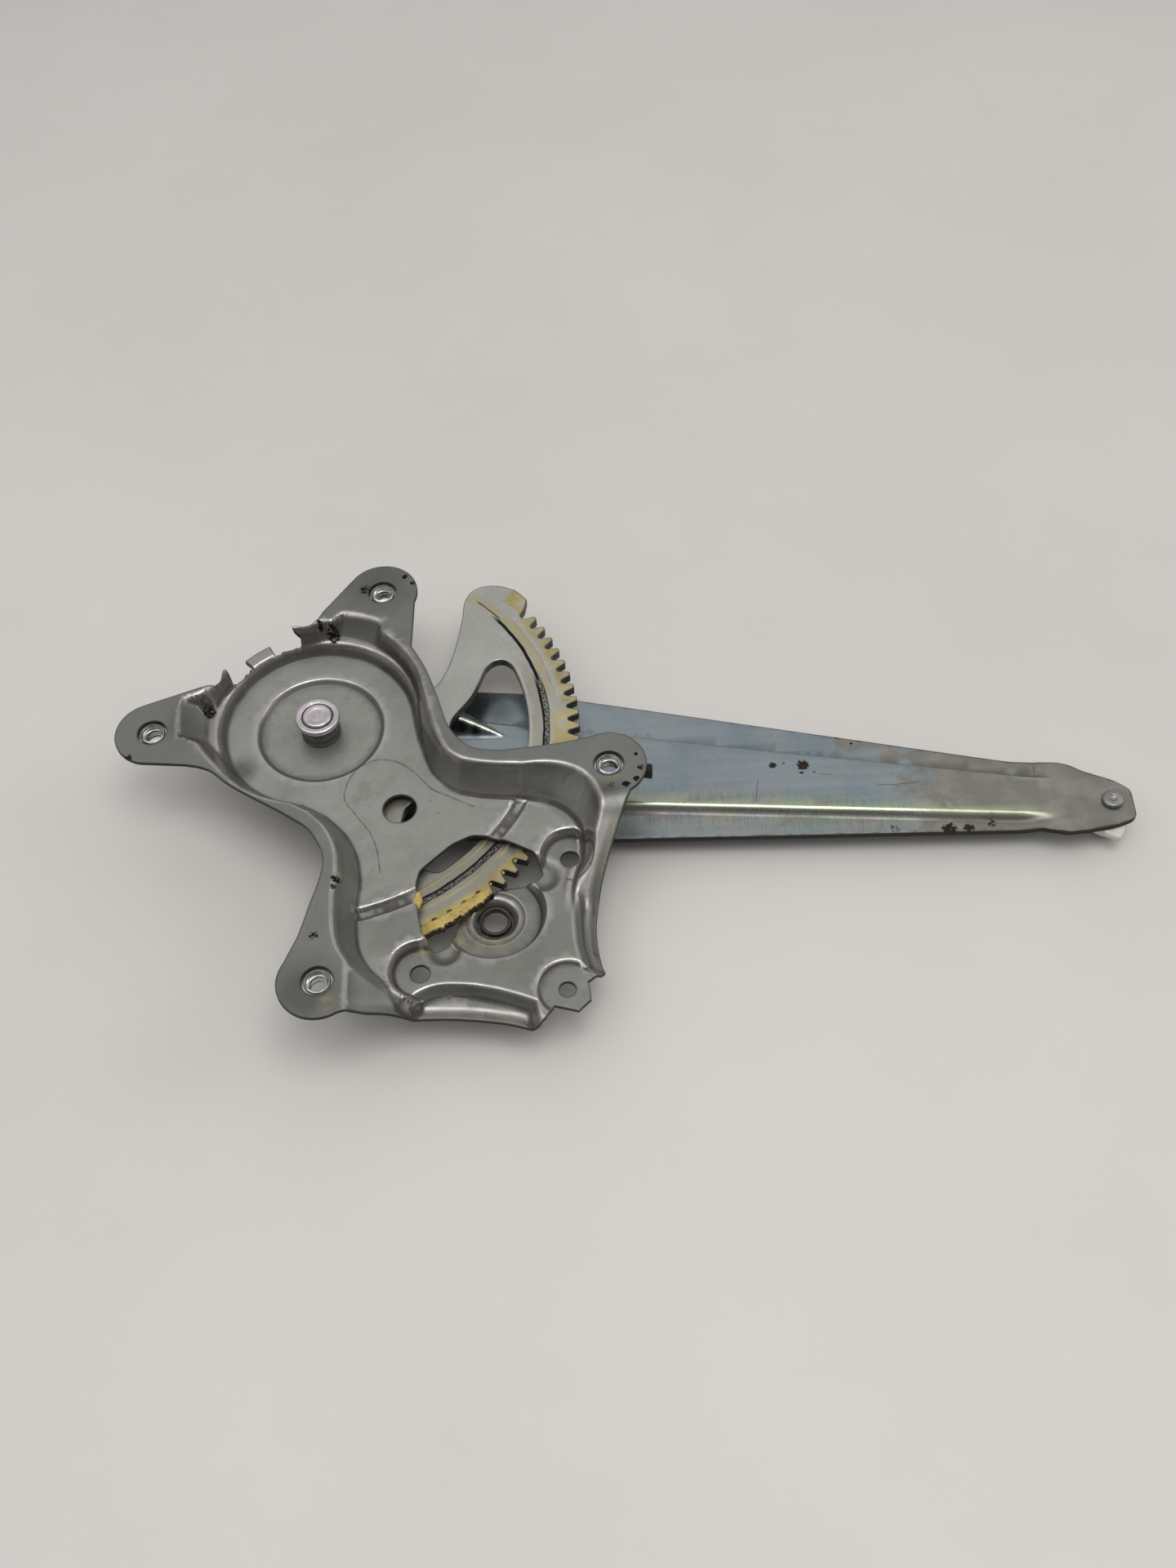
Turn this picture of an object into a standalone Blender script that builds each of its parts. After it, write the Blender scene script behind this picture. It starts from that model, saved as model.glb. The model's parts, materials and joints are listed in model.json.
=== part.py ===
"""Window regulator: a pressed base plate with a toothed sector, a lift arm and a guide shoe.

Sizes are in millimetres. The pivot axis is the modelling origin, +X runs along the arm, +Z points to the
front of the plate, and z = 0 is the front face of its web. A root empty then stands the part on z = 0.
"""

import math

import bmesh
import bpy
import numpy as np
from mathutils import Vector
from mathutils.geometry import delaunay_2d_cdt

MM = 0.001
GAP = 0.3  # clearance between pieces that touch
ROUND = 40  # sides of a turned piece
SMALL_ROUND = 24  # sides of a hole or a small turned piece
CUT_PAST = 1.0  # how far a cutter reaches past the face it cuts

# Base plate: sheet and levels
SHEET = 1.6
EAR_RISE = 9.8
DISC_DEPTH = 1.2
GROOVE_DEPTH = 1.2
FLAT_DROP = 3.0  # motor face below the web
SKIRT_DROP = 6.0  # rim of the skirts below the web
LUG_DROP = 0.8
POCKET_DEPTH = 1.4
BURR_DEPTH = 1.8
WALL_RUN = 1.9  # plan width of a wall, apart from its share of the rise
WALL_LEAN = 0.36  # plan width gained for each millimetre of rise

# Base plate: plan
EAR_LEFT = (-47.0, -5.3)
EAR_TOP = (18.3, 43.8)
EAR_RIGHT = (84.2, -25.1)
EAR_BOTTOM = (5.0, -89.1)
EAR_RADIUS = 10.8
EAR_HOLE_RADIUS = 4.2
DISH_RADIUS = 27.7
DISC_RADIUS = 18.3
DISC_SLOPE = 1.4
TRIM_RADIUS = 29.8  # sheared edge of the dish between the left and top ears
HORN_REACH = 3.6  # how far the wall's two cut ends stand out past that edge
HORN_TURNS = (104.4, 148.8)
EAR_SIDE_REACH = 4.0  # from the upper horn's line to the side of the top ear
TAB_RADIUS = 33.8
TAB_ANGLES = (119.0, 134.0)
TAB_RISE = 4.0
TAB_SIDE = 2.0  # degrees over which the wall beside the tab comes down to it
WEB_HOLE = (24.0, -30.0)
WEB_HOLE_RADIUS = 4.8
GROOVE_RADIUS = 65.6
GROOVE_WIDTH = 3.8
GROOVE_SLOPE = 1.0
GROOVE_ANGLES = (-77.0, -27.0)
PINION_DISTANCE = 81.3
PINION_ANGLE = -51.8
PINION_HOLE_RADIUS = 4.9
RECESS_RADIUS = 13.0
RECESS_SLOPE = 2.2
BURR_RADIUS = 6.6
BURR_SLOPE = 1.4
POCKET_DISTANCE = 15.5  # from the pinion axis, one on each side of it
POCKET_TURN = 90.0  # degrees from the line that runs out from the pivot
POCKET_RADIUS = 4.6
POCKET_SLOPE = 2.0
FLAT_RADIUS = 79.5  # the motor face lies outside this circle about the pivot
FLAT_HALF_ANGLE = 20.0
FLAT_SLOPE = 2.6
MOTOR_HOLE_A = (71.8, -48.3)
MOTOR_HOLE_B = (30.2, -81.9)
MOTOR_HOLE_C = (69.6, -88.5)
MOTOR_HOLE_RADIUS = 2.6
LUG_HOLE_RADIUS = 2.2
PAD_RADIUS = 8.0
LUG_RADIUS = 8.6
LUG_SLOPE = 1.0
LUG_FOOT_RADIUS = 16.6  # the wall foot keeps clear of the lug by this much
TOOTH_ROOM = 1.0  # plate kept clear outside the tooth tips
WINDOW_FLOOR_UNDERLAP = 1.5  # recess floor that reaches under the teeth
WINDOW_SHOULDER = 1.0
WINDOW_LOBE = 4.6  # depth of the pocket at each end of the window
SKIRT_FALL_RIGHT = (-37.0, -62.0)  # y where the right rim starts and stops falling
SKIRT_FALL_BOTTOM = (12.5, 36.0)  # x where the bottom rim starts and stops falling
SKIRT_SIDE_X = (45.0, 60.0)  # the right skirt lies beyond this x, the bottom skirt below this y
SKIRT_SIDE_Y = (-80.0, -86.0)

# Sector gear
SECTOR_THICKNESS = 3.0
TOOTH_PITCH = 3.73  # degrees
TOOTH_COUNT = 28
FIRST_TOOTH = 32.55  # degrees, tip of the uppermost tooth
TIP_RADIUS = 76.6
TOOTH_HEIGHT = 3.3
TOOTH_TIP_SHARE = 0.15  # half widths as shares of the pitch
TOOTH_PITCH_SHARE = 0.26
TOOTH_ROOT_SHARE = 0.36
NOSE_RADIUS = 78.8
SECTOR_HUB_RADIUS = 26.0
LIGHTENING_INNER_RADIUS = 37.5
LIGHTENING_OUTER_RADIUS = 61.5
LIGHTENING_ANGLES = (-58.0, 26.0)

# Lift arm
ARM_SHEET = 2.0
ARM_CLEARANCE = 0.6  # below the burr of the pinion hole
RIB_RISE = 2.0
RIB_SLOPE = 1.6
ARM_ROOT_RADIUS = 22.6
RIB_ROOT_RADIUS = 16.4
BOSS_RADIUS = 17.4
BOSS_SLOPE = 4.2
BOSS_NOSE = (50.0, -2.5)
BOSS_NOSE_RADIUS = 3.0
ARM_REACH = 229.4  # from the pivot to the stud, along X
ARM_DROP = 33.7  # and across it
TIP_RISE = (26.4, 16.4)  # distances before the stud between which the flanges rise to the tip

# Pivot, rivets, stud, nuts and rubber
PIN_RADIUS = 4.0
PIN_NECK_RADIUS = 3.3
PIN_END_RADIUS = 4.2
PIN_END_HEIGHT = 0.9
PIN_END_ROUND = 0.35
PIN_HEAD_RADIUS = 6.8
PIN_HEAD_HEIGHT = 2.2
PIN_HEAD_CHAMFER = 1.0
BUSH_RADIUS = 5.8
BUSH_SPIGOT_RADIUS = 4.9
BUSH_TOP = 4.3
WASHER_RADIUS = 6.5
WASHER_HEIGHT = 1.9
BACK_WASHER_RADIUS = 8.4
BACK_WASHER_HEIGHT = 1.2
RIVET_CIRCLE_RADIUS = 12.3
RIVET_TURNS = (30.0, 150.0, 270.0)
RIVET_RADIUS = 2.2
RIVET_HEAD_RADIUS = 2.9
RIVET_HEAD_FLAT = 2.0
RIVET_SET_BACK = 0.1  # flush end below the face of the sector
RIVET_BACK_HEIGHT = 1.5
STUD_RADIUS = 2.0
STUD_HEAD_RADIUS = 3.1
STUD_HEAD_HEIGHT = 1.2
STUD_HEAD_ROUND = 0.5
STUD_DIMPLE_RADIUS = 0.8
STUD_DIMPLE_DEPTH = 0.5
STUD_SHOULDER_RADIUS = 2.6
STUD_END_RADIUS = 3.2
STUD_END_HEIGHT = 0.9
SHOE_HEIGHT = 8.6
SHOE_TURN = 61.0
SHOE_HALF_WIDTH = 6.1
SHOE_REACH = 9.8  # from the stud to the shoe's square end
SHOE_FLANGE = 2.6  # thickness of the upper plate
SHOE_CORNER = 1.2
SHOE_NECK_RADIUS = 4.3
SHOE_BUTTON_RADIUS = 6.0
SHOE_BUTTON_HEIGHT = 3.6
SHOE_POCKET_RADIUS = 4.6
SHOE_POCKET_DEPTH = 2.9
SHOE_WASHER_RADIUS = 4.2
SHOE_WASHER_HEIGHT = 1.0
NUT_ACROSS_FLATS = 10.0
NUT_HEIGHT = 5.0
NUT_BORE_RADIUS = 2.6
NUT_MOUTH_RADIUS = 3.2
NUT_PILOT_RADIUS = EAR_HOLE_RADIUS - GAP
NUT_PILOT_SET_BACK = 0.5
BUMPER_INNER_RADIUS = 6.6
BUMPER_OVERHANG = 1.6  # past the ear's edge
BUMPER_ANGLES = (-14.0, 36.0)
BUMPER_HEIGHT = 6.5
PINION_BUSH_WALL = 0.8

# Levels that follow from the sizes above
SECTOR_TOP = -(SHEET + max(DISC_DEPTH, GROOVE_DEPTH) + GAP)
SECTOR_BOTTOM = SECTOR_TOP - SECTOR_THICKNESS
RECESS_FLOOR = SECTOR_BOTTOM - 3 * GAP
BURR_END = RECESS_FLOOR - SHEET - BURR_DEPTH
RIB_TOP = BURR_END - ARM_CLEARANCE
FLANGE_TOP = RIB_TOP - RIB_RISE
BOSS_TOP = SECTOR_BOTTOM - GAP
BOSS_BACK = BOSS_TOP - ARM_SHEET
EAR_BACK = EAR_RISE - SHEET
SHOE_TOP = RIB_TOP - ARM_SHEET - GAP
SHOE_BOTTOM = SHOE_TOP - SHOE_HEIGHT


def polar(radius, degrees, centre=(0.0, 0.0)):
    turn = math.radians(degrees)
    return (centre[0] + radius * math.cos(turn), centre[1] + radius * math.sin(turn))


PINION = polar(PINION_DISTANCE, PINION_ANGLE)
STUD_PLACE = (ARM_REACH, -ARM_DROP)


def arc(centre, radius, start, end, step=12.0):
    """Points along an arc, with both ends."""
    count = max(2, round(abs(end - start) / step) + 1)
    return [polar(radius, turn, centre) for turn in np.linspace(start, end, count)]


def circle(centre, radius, count=SMALL_ROUND):
    return [polar(radius, 360.0 * i / count, centre) for i in range(count)]


def smooth(points, steps=4):
    """A Catmull-Rom curve through the points, with both ends."""
    held = np.array([points[0], *points, points[-1]], float)
    curve = []
    for before, start, end, after in zip(held, held[1:], held[2:], held[3:]):
        for t in np.arange(steps) / steps:
            curve.append(
                0.5
                * (
                    2 * start
                    + (end - before) * t
                    + (2 * before - 5 * start + 4 * end - after) * t**2
                    + (3 * start - before - 3 * end + after) * t**3
                )
            )
    return [tuple(point) for point in curve] + [tuple(held[-1])]


def ramp(values):
    return np.clip(values, 0.0, 1.0)


def share_of(values, span):
    """0 at the span's start, 1 at its end and straight between."""
    return ramp((values - span[0]) / (span[1] - span[0]))


def inside(points, loop):
    """True for each point that lies inside the closed loop."""
    start = np.asarray(loop, float)
    end = np.roll(start, -1, axis=0)
    x, y = points[:, 0:1], points[:, 1:2]
    crosses = (start[:, 1] > y) != (end[:, 1] > y)
    rise = np.where(end[:, 1] == start[:, 1], 1e-12, end[:, 1] - start[:, 1])
    left_of = x < start[:, 0] + (y - start[:, 1]) / rise * (end[:, 0] - start[:, 0])
    return (crosses & left_of).sum(axis=1) % 2 == 1


def loop_distance(points, loop):
    """Distance to the closed loop, positive outside it."""
    start = np.asarray(loop, float)
    along = np.roll(start, -1, axis=0) - start
    offset = points[:, None, :] - start[None]
    share = (offset * along).sum(axis=2) / np.maximum((along**2).sum(axis=1), 1e-12)
    nearest = offset - along * ramp(share)[:, :, None]
    distance = np.sqrt((nearest**2).sum(axis=2)).min(axis=1)
    return np.where(inside(points, loop), -distance, distance)


def distance_to(points, centre):
    return np.hypot(points[:, 0] - centre[0], points[:, 1] - centre[1])


def plate_outline():
    """The plate's edge, counter-clockwise from the underside of the right ear."""
    right_waist = [(72.5, -16.8), (62, -17.9), (52, -18.2), (44, -15.8)]
    right_waist += [(38.8, -8.5), (35.5, 2.5), (32, 13), (27.6, 22)]
    left_waist = [(-36, -17.4), (-29.5, -19.6), (-22, -26), (-6, -36.8)]
    left_waist += [(1, -43), (4.7, -53), (1.5, -67), (-0.8, -75.5)]
    bottom_edge = [(17, -96.6), (25, -93.8), (38.5, -93.9), (52, -95.9), (60, -98.3)]
    right_edge = [(79.2, -81), (78.3, -74), (78.4, -66), (80.3, -56.8), (84, -47)]
    tab_start, tab_end = TAB_ANGLES
    horn_radius = TRIM_RADIUS + HORN_REACH
    horn_start, horn_end = HORN_TURNS
    return [
        *arc(EAR_RIGHT, EAR_RADIUS, -58, 92),
        *smooth(right_waist),
        *arc(EAR_TOP, EAR_RADIUS, -22, 152),
        polar(horn_radius + EAR_SIDE_REACH, 87.8),
        polar(horn_radius, 92.5),
        polar(horn_radius, horn_start),
        *arc((0, 0), TRIM_RADIUS, 102, tab_start, 8),
        *arc((0, 0), TAB_RADIUS, tab_start, tab_end),
        *arc((0, 0), TRIM_RADIUS, tab_end, 150, 8),
        polar(horn_radius, horn_end),
        polar(horn_radius, 158.5),
        *arc(EAR_LEFT, EAR_RADIUS, 78, 258),
        *smooth(left_waist),
        *arc(EAR_BOTTOM, EAR_RADIUS, 148, 300),
        *smooth(bottom_edge),
        (62.4, -98),
        (64.4, -96),
        (65.6, -93.6),
        (72.2, -95.2),
        (75.6, -91.8),
        (75.6, -87.6),
        (77.4, -85.6),
        (79.3, -83.4),
        *smooth(right_edge),
    ]


def wall_foot():
    """The closed line where the web and the motor face meet the walls and skirts."""
    right_wall = [(28.6, -3), (30.4, -10.2), (33.8, -19.1), (39.2, -24.6)]
    right_wall += [(46, -27.1), (58, -28.2), (67, -29.8)]
    right_skirt = [(72.5, -34.6), (75.6, -40.5), (75.5, -48), (72.8, -56)]
    right_skirt += [(72.1, -64), (72.3, -74), (74, -83)]
    bottom_skirt = [(61.5, -91.6), (53, -88.2), (44.5, -86), (36, -85.2), (30, -87), (26, -90.4)]
    left_wall = [(22, -86.8), (17, -81.3), (13.8, -74.6), (13, -63.5)]
    left_wall += [(13.6, -55), (12.6, -46.5), (9, -38.4), (3, -31.6)]
    ear_pocket = [(14.6, 29.5), (14.2, 32.2), (5.2, 34.2), (4, 31)]
    return [
        *smooth(right_wall + right_skirt),
        *arc(MOTOR_HOLE_C, LUG_FOOT_RADIUS, -10, -112, 20),
        *smooth(bottom_skirt),
        *smooth(left_wall),
        *arc((0, 0), DISH_RADIUS, -98, -276, 9),
        *reversed(ear_pocket),
        *arc((0, 0), DISH_RADIUS, 58, 6, 9),
    ]


PLATE_OUTLINE = plate_outline()
WALL_FOOT = wall_foot()


def turn_of(points):
    return np.degrees(np.arctan2(points[:, 1], points[:, 0]))


def rim_level(points):
    """Level of the border: the ears' level, low at the dish's tab and falling to the skirts."""
    x, y = points[:, 0], points[:, 1]
    right = share_of(y, SKIRT_FALL_RIGHT) * share_of(x, SKIRT_SIDE_X)
    bottom = share_of(x, SKIRT_FALL_BOTTOM) * share_of(y, SKIRT_SIDE_Y)
    level = EAR_RISE - (EAR_RISE + SKIRT_DROP) * np.maximum(right, bottom)
    turn = turn_of(points)
    beside_tab = np.maximum(TAB_ANGLES[0] - turn, turn - TAB_ANGLES[1])
    at_tab = ramp(1 - beside_tab / TAB_SIDE) * (distance_to(points, (0, 0)) < TAB_RADIUS + GAP)
    return level + (TAB_RISE - EAR_RISE) * at_tab


def pocket_places():
    return [polar(POCKET_DISTANCE, PINION_ANGLE + side * POCKET_TURN, PINION) for side in (-1, 1)]


def floor_level(points):
    """Level of the web, disc, groove, motor face, recess and burr, without the walls."""
    radius = distance_to(points, (0, 0))
    turn = turn_of(points)
    to_pinion = distance_to(points, PINION)
    sideways = np.radians(FLAT_HALF_ANGLE - np.abs(turn - PINION_ANGLE)) * FLAT_RADIUS
    reach = np.minimum(radius - FLAT_RADIUS, sideways)
    for hole in (MOTOR_HOLE_A, MOTOR_HOLE_B):
        reach = np.maximum(reach, PAD_RADIUS - distance_to(points, hole))
    level = -FLAT_DROP * ramp(reach / FLAT_SLOPE)
    level -= LUG_DROP * ramp((LUG_RADIUS - distance_to(points, MOTOR_HOLE_C)) / LUG_SLOPE)
    for pocket in pocket_places():
        level -= POCKET_DEPTH * ramp((POCKET_RADIUS - distance_to(points, pocket)) / POCKET_SLOPE)
    level += (RECESS_FLOOR - level) * ramp((RECESS_RADIUS - to_pinion) / RECESS_SLOPE)
    level -= BURR_DEPTH * ramp((BURR_RADIUS - to_pinion) / BURR_SLOPE)
    level -= DISC_DEPTH * ramp((DISC_RADIUS + DISC_SLOPE / 2 - radius) / DISC_SLOPE)
    across = (GROOVE_WIDTH / 2 - np.abs(radius - GROOVE_RADIUS)) / GROOVE_SLOPE
    start, end = GROOVE_ANGLES
    along = np.radians(np.minimum(turn - start, end - turn)) * GROOVE_RADIUS / GROOVE_SLOPE
    return level - GROOVE_DEPTH * ramp(np.minimum(across, along))


def plate_level(points):
    floor = floor_level(points)
    rise = rim_level(points) - floor
    width = WALL_RUN + WALL_LEAN * np.abs(rise)
    return floor + rise * ramp(loop_distance(points, WALL_FOOT) / width)


def wall_top():
    """The line where the walls reach the border, offset from their foot by the wall's width."""
    foot = np.array(WALL_FOOT)
    along = np.roll(foot, -1, axis=0) - np.roll(foot, 1, axis=0)
    normal = np.stack([along[:, 1], -along[:, 0]], axis=1)
    normal /= np.linalg.norm(normal, axis=1, keepdims=True)
    if inside(foot[:1] + normal[:1] * GAP, WALL_FOOT)[0]:
        normal = -normal
    width = WALL_RUN + WALL_LEAN * np.abs(rim_level(foot + normal) - floor_level(foot))
    return [tuple(point) for point in foot + normal * width[:, None]]


def window_outline():
    """Opening over the teeth, with a lobe at each end and its lower edge on the recess floor."""
    clear = TIP_RADIUS + TOOTH_ROOM
    floor_edge = TIP_RADIUS - WINDOW_FLOOR_UNDERLAP
    lobe = clear + WINDOW_LOBE
    return [
        (29, -55.8),
        (29.8, -65),
        polar(clear, -66.5),
        polar(lobe, -65.6),
        polar(lobe, -62.4),
        polar(clear + WINDOW_SHOULDER, -60.0),
        *arc((0, 0), floor_edge, -57.0, -46.6, 4),
        polar(clear + WINDOW_SHOULDER, -43.6),
        polar(lobe, -41.2),
        polar(lobe, -38.6),
        polar(clear, -37.2),
        (54.8, -43),
        (50.2, -41.1),
        (44.6, -40.4),
        (39, -43),
        (33.6, -47.8),
        (30, -51.2),
    ]


def triangles_of(outline, holes, lines, points=()):
    """Plan triangles between an outline and its holes, with edges along the given lines."""
    places, edges = [], []
    for line, closed in [(outline, True), *((hole, True) for hole in holes), *lines]:
        first = len(places)
        places += [Vector(point) for point in line]
        edges += [(i, i + 1) for i in range(first, len(places) - 1)]
        if closed:
            edges.append((len(places) - 1, first))
    places += [Vector(point) for point in points]
    flat, _, faces, *_ = delaunay_2d_cdt(places, edges, [], 0, 1e-3)
    flat = np.array([tuple(point) for point in flat])
    middles = np.array([flat[list(face)].mean(axis=0) for face in faces])
    kept = inside(middles, outline)
    for hole in holes:
        kept &= ~inside(middles, hole)
    return flat, [face for face, keep in zip(faces, kept) if keep]


def material(name, colour, roughness, metallic):
    made = bpy.data.materials.new(name)
    made.use_nodes = True
    shader = made.node_tree.nodes["Principled BSDF"]
    shader.inputs["Base Color"].default_value = (*colour, 1.0)
    shader.inputs["Roughness"].default_value = roughness
    shader.inputs["Metallic"].default_value = metallic
    return made


def add_object(name, mesh, parent, finish):
    made = bpy.data.objects.new(name, mesh)
    bpy.context.scene.collection.objects.link(made)
    made.parent = parent
    if finish and not mesh.materials:
        mesh.materials.append(finish)
    return made


def empty(name, parent=None, place=(0.0, 0.0)):
    made = add_object(name, None, parent, None)
    made.location = (place[0] * MM, place[1] * MM, 0.0)
    return made


def mesh_of(name, points, faces, smooth_angle=35.0):
    mesh = bpy.data.meshes.new(name)
    places = [tuple(value * MM for value in point) for point in points]
    mesh.from_pydata(places, [], [tuple(face) for face in faces])
    shape = bmesh.new()
    shape.from_mesh(mesh)
    bmesh.ops.delete(shape, geom=[vert for vert in shape.verts if not vert.link_faces], context="VERTS")
    shape.to_mesh(mesh)
    shape.free()
    mesh.shade_smooth()
    mesh.set_sharp_from_angle(angle=math.radians(smooth_angle))
    return mesh


def pressed_sheet(name, outline, holes, lines, level, thickness, parent, finish):
    """A pressed sheet: plan triangles lifted to their levels, then given the sheet's thickness below."""
    flat, faces = triangles_of(outline, holes, lines)
    points = np.column_stack([flat, level(flat)])
    made = add_object(name, mesh_of(name, points, faces), parent, finish)
    sheet = made.modifiers.new("sheet", "SOLIDIFY")
    sheet.thickness = thickness * MM
    sheet.offset = -1.0
    sheet.use_even_offset = True
    sheet.use_quality_normals = True
    return made


def prism(name, outline, holes, bottom, top, parent, finish):
    """A flat blank with holes, between two levels."""
    flat, faces = triangles_of(outline, holes, [])
    mesh = mesh_of(name, np.column_stack([flat, np.full(len(flat), bottom)]), [face[::-1] for face in faces])
    shape = bmesh.new()
    shape.from_mesh(mesh)
    grown = bmesh.ops.extrude_face_region(shape, geom=shape.faces[:])["geom"]
    lifted = [part for part in grown if isinstance(part, bmesh.types.BMVert)]
    bmesh.ops.translate(shape, verts=lifted, vec=(0, 0, (top - bottom) * MM))
    bmesh.ops.recalc_face_normals(shape, faces=shape.faces[:])
    shape.to_mesh(mesh)
    shape.free()
    return add_object(name, mesh, parent, finish)


def turned_mesh(name, profile, sides=ROUND):
    """A turned solid. The profile lists (radius, level) points: closed for a ring, or from axis to axis."""
    solid = profile[0][0] == 0.0
    points, rings = [], []
    for radius, level in profile:
        count = 1 if radius == 0.0 else sides
        rings.append([len(points) + (i if count > 1 else 0) for i in range(sides)])
        points += [(*polar(radius, 360.0 * i / sides), level) for i in range(count)]
    faces = []
    pairs = list(zip(rings, rings[1:])) + ([] if solid else [(rings[-1], rings[0])])
    for lower, upper in pairs:
        for i in range(sides):
            j = (i + 1) % sides
            corners = [lower[i], lower[j], upper[j], upper[i]]
            faces.append(tuple(dict.fromkeys(corners)))
    mesh = mesh_of(name, points, faces)
    shape = bmesh.new()
    shape.from_mesh(mesh)
    bmesh.ops.recalc_face_normals(shape, faces=shape.faces[:])
    shape.to_mesh(mesh)
    shape.free()
    return mesh


def turned(name, profile, parent, finish, place=(0.0, 0.0), sides=ROUND):
    made = add_object(name, turned_mesh(name, profile, sides), parent, finish)
    made.location = (place[0] * MM, place[1] * MM, 0.0)
    return made


def base_plate(parent, finish):
    holes = [circle(ear, EAR_HOLE_RADIUS) for ear in (EAR_LEFT, EAR_TOP, EAR_RIGHT, EAR_BOTTOM)]
    holes += [circle(hole, MOTOR_HOLE_RADIUS) for hole in (MOTOR_HOLE_A, MOTOR_HOLE_B)]
    holes += [
        circle(MOTOR_HOLE_C, LUG_HOLE_RADIUS),
        circle(WEB_HOLE, WEB_HOLE_RADIUS),
        circle(PINION, PINION_HOLE_RADIUS),
        circle((0, 0), BUSH_SPIGOT_RADIUS + GAP),
        window_outline(),
    ]
    lines = [(WALL_FOOT, True), (wall_top(), True)]
    for half in (GROOVE_WIDTH / 2, GROOVE_WIDTH / 2 - GROOVE_SLOPE):
        end_gap = math.degrees((GROOVE_WIDTH / 2 - half) / GROOVE_RADIUS)
        start, end = GROOVE_ANGLES[0] + end_gap, GROOVE_ANGLES[1] - end_gap
        rim = arc((0, 0), GROOVE_RADIUS + half, start, end, 5)
        rim += arc((0, 0), GROOVE_RADIUS - half, end, start, 5)
        lines.append((rim, True))
    for side in (-1, 1):
        lines.append((circle((0, 0), DISC_RADIUS + side * DISC_SLOPE / 2, 2 * SMALL_ROUND), True))
    for turn in (TAB_ANGLES[0], TAB_ANGLES[1], TAB_ANGLES[0] - TAB_SIDE, TAB_ANGLES[1] + TAB_SIDE):
        lines.append(([polar(DISH_RADIUS, turn), polar(TAB_RADIUS, turn)], False))
    rings = [(PINION, RECESS_RADIUS, RECESS_SLOPE), (PINION, BURR_RADIUS, BURR_SLOPE)]
    rings += [(MOTOR_HOLE_C, LUG_RADIUS, LUG_SLOPE)]
    rings += [(hole, PAD_RADIUS, FLAT_SLOPE) for hole in (MOTOR_HOLE_A, MOTOR_HOLE_B)]
    rings += [(pocket, POCKET_RADIUS, POCKET_SLOPE) for pocket in pocket_places()]
    for centre, radius, slope in rings:
        lines += [(circle(centre, radius), True), (circle(centre, radius - slope), True)]
    for x in SKIRT_FALL_BOTTOM:
        lines.append(([(x, SKIRT_SIDE_Y[0]), (x, EAR_BOTTOM[1] - 2 * EAR_RADIUS)], False))
    for y in SKIRT_FALL_RIGHT:
        lines.append(([(SKIRT_SIDE_X[1], y), (EAR_RIGHT[0] + 2 * EAR_RADIUS, y)], False))
    for radius in (FLAT_RADIUS, FLAT_RADIUS + FLAT_SLOPE):
        turn = FLAT_HALF_ANGLE
        lines.append((arc((0, 0), radius, PINION_ANGLE - turn, PINION_ANGLE + turn, 2.5), False))
    pressed_sheet("base_plate", PLATE_OUTLINE, holes, lines, plate_level, SHEET, parent, finish)


def weld_nuts(parent, finish):
    """Hexagonal weld nuts whose pilots stand in the ears' holes."""
    top, bottom = EAR_BACK - GAP, EAR_BACK - GAP - NUT_HEIGHT
    corner = NUT_ACROSS_FLATS / math.sqrt(3)
    pilot_top = EAR_RISE - NUT_PILOT_SET_BACK
    chamfer = NUT_MOUTH_RADIUS - NUT_BORE_RADIUS
    nut_mesh = hex_ring_mesh(corner, bottom, top, pilot_top, chamfer)
    for name, ear in (("left", EAR_LEFT), ("top", EAR_TOP), ("right", EAR_RIGHT), ("bottom", EAR_BOTTOM)):
        made = add_object(f"weld_nut_{name}", nut_mesh, parent, finish)
        made.location = (ear[0] * MM, ear[1] * MM, 0.0)


def hex_ring_mesh(corner, bottom, top, pilot_top, chamfer):
    """A hexagonal nut with a round pilot on top and a chamfered bore right through."""
    sides = SMALL_ROUND
    flat_half = math.radians(30)

    def hex_radius(turn):
        return corner * math.cos(flat_half) / math.cos((turn % (2 * flat_half)) - flat_half)

    turns = [2 * math.pi * i / sides for i in range(sides)]
    rings = [
        [(NUT_BORE_RADIUS, pilot_top - chamfer)] * sides,
        [(NUT_BORE_RADIUS, bottom + chamfer)] * sides,
        [(NUT_MOUTH_RADIUS, bottom)] * sides,
        [(hex_radius(turn), bottom) for turn in turns],
        [(hex_radius(turn), top) for turn in turns],
        [(NUT_PILOT_RADIUS, top)] * sides,
        [(NUT_PILOT_RADIUS, pilot_top)] * sides,
        [(NUT_MOUTH_RADIUS, pilot_top)] * sides,
    ]
    points = [
        (radius * math.cos(turn), radius * math.sin(turn), level)
        for ring in rings
        for turn, (radius, level) in zip(turns, ring)
    ]
    faces = []
    for ring in range(len(rings)):
        after = (ring + 1) % len(rings)
        for i in range(sides):
            j = (i + 1) % sides
            faces.append((ring * sides + i, after * sides + i, after * sides + j, ring * sides + j))
    mesh = mesh_of("weld_nut", points, faces)
    shape = bmesh.new()
    shape.from_mesh(mesh)
    bmesh.ops.recalc_face_normals(shape, faces=shape.faces[:])
    shape.to_mesh(mesh)
    shape.free()
    return mesh


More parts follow.
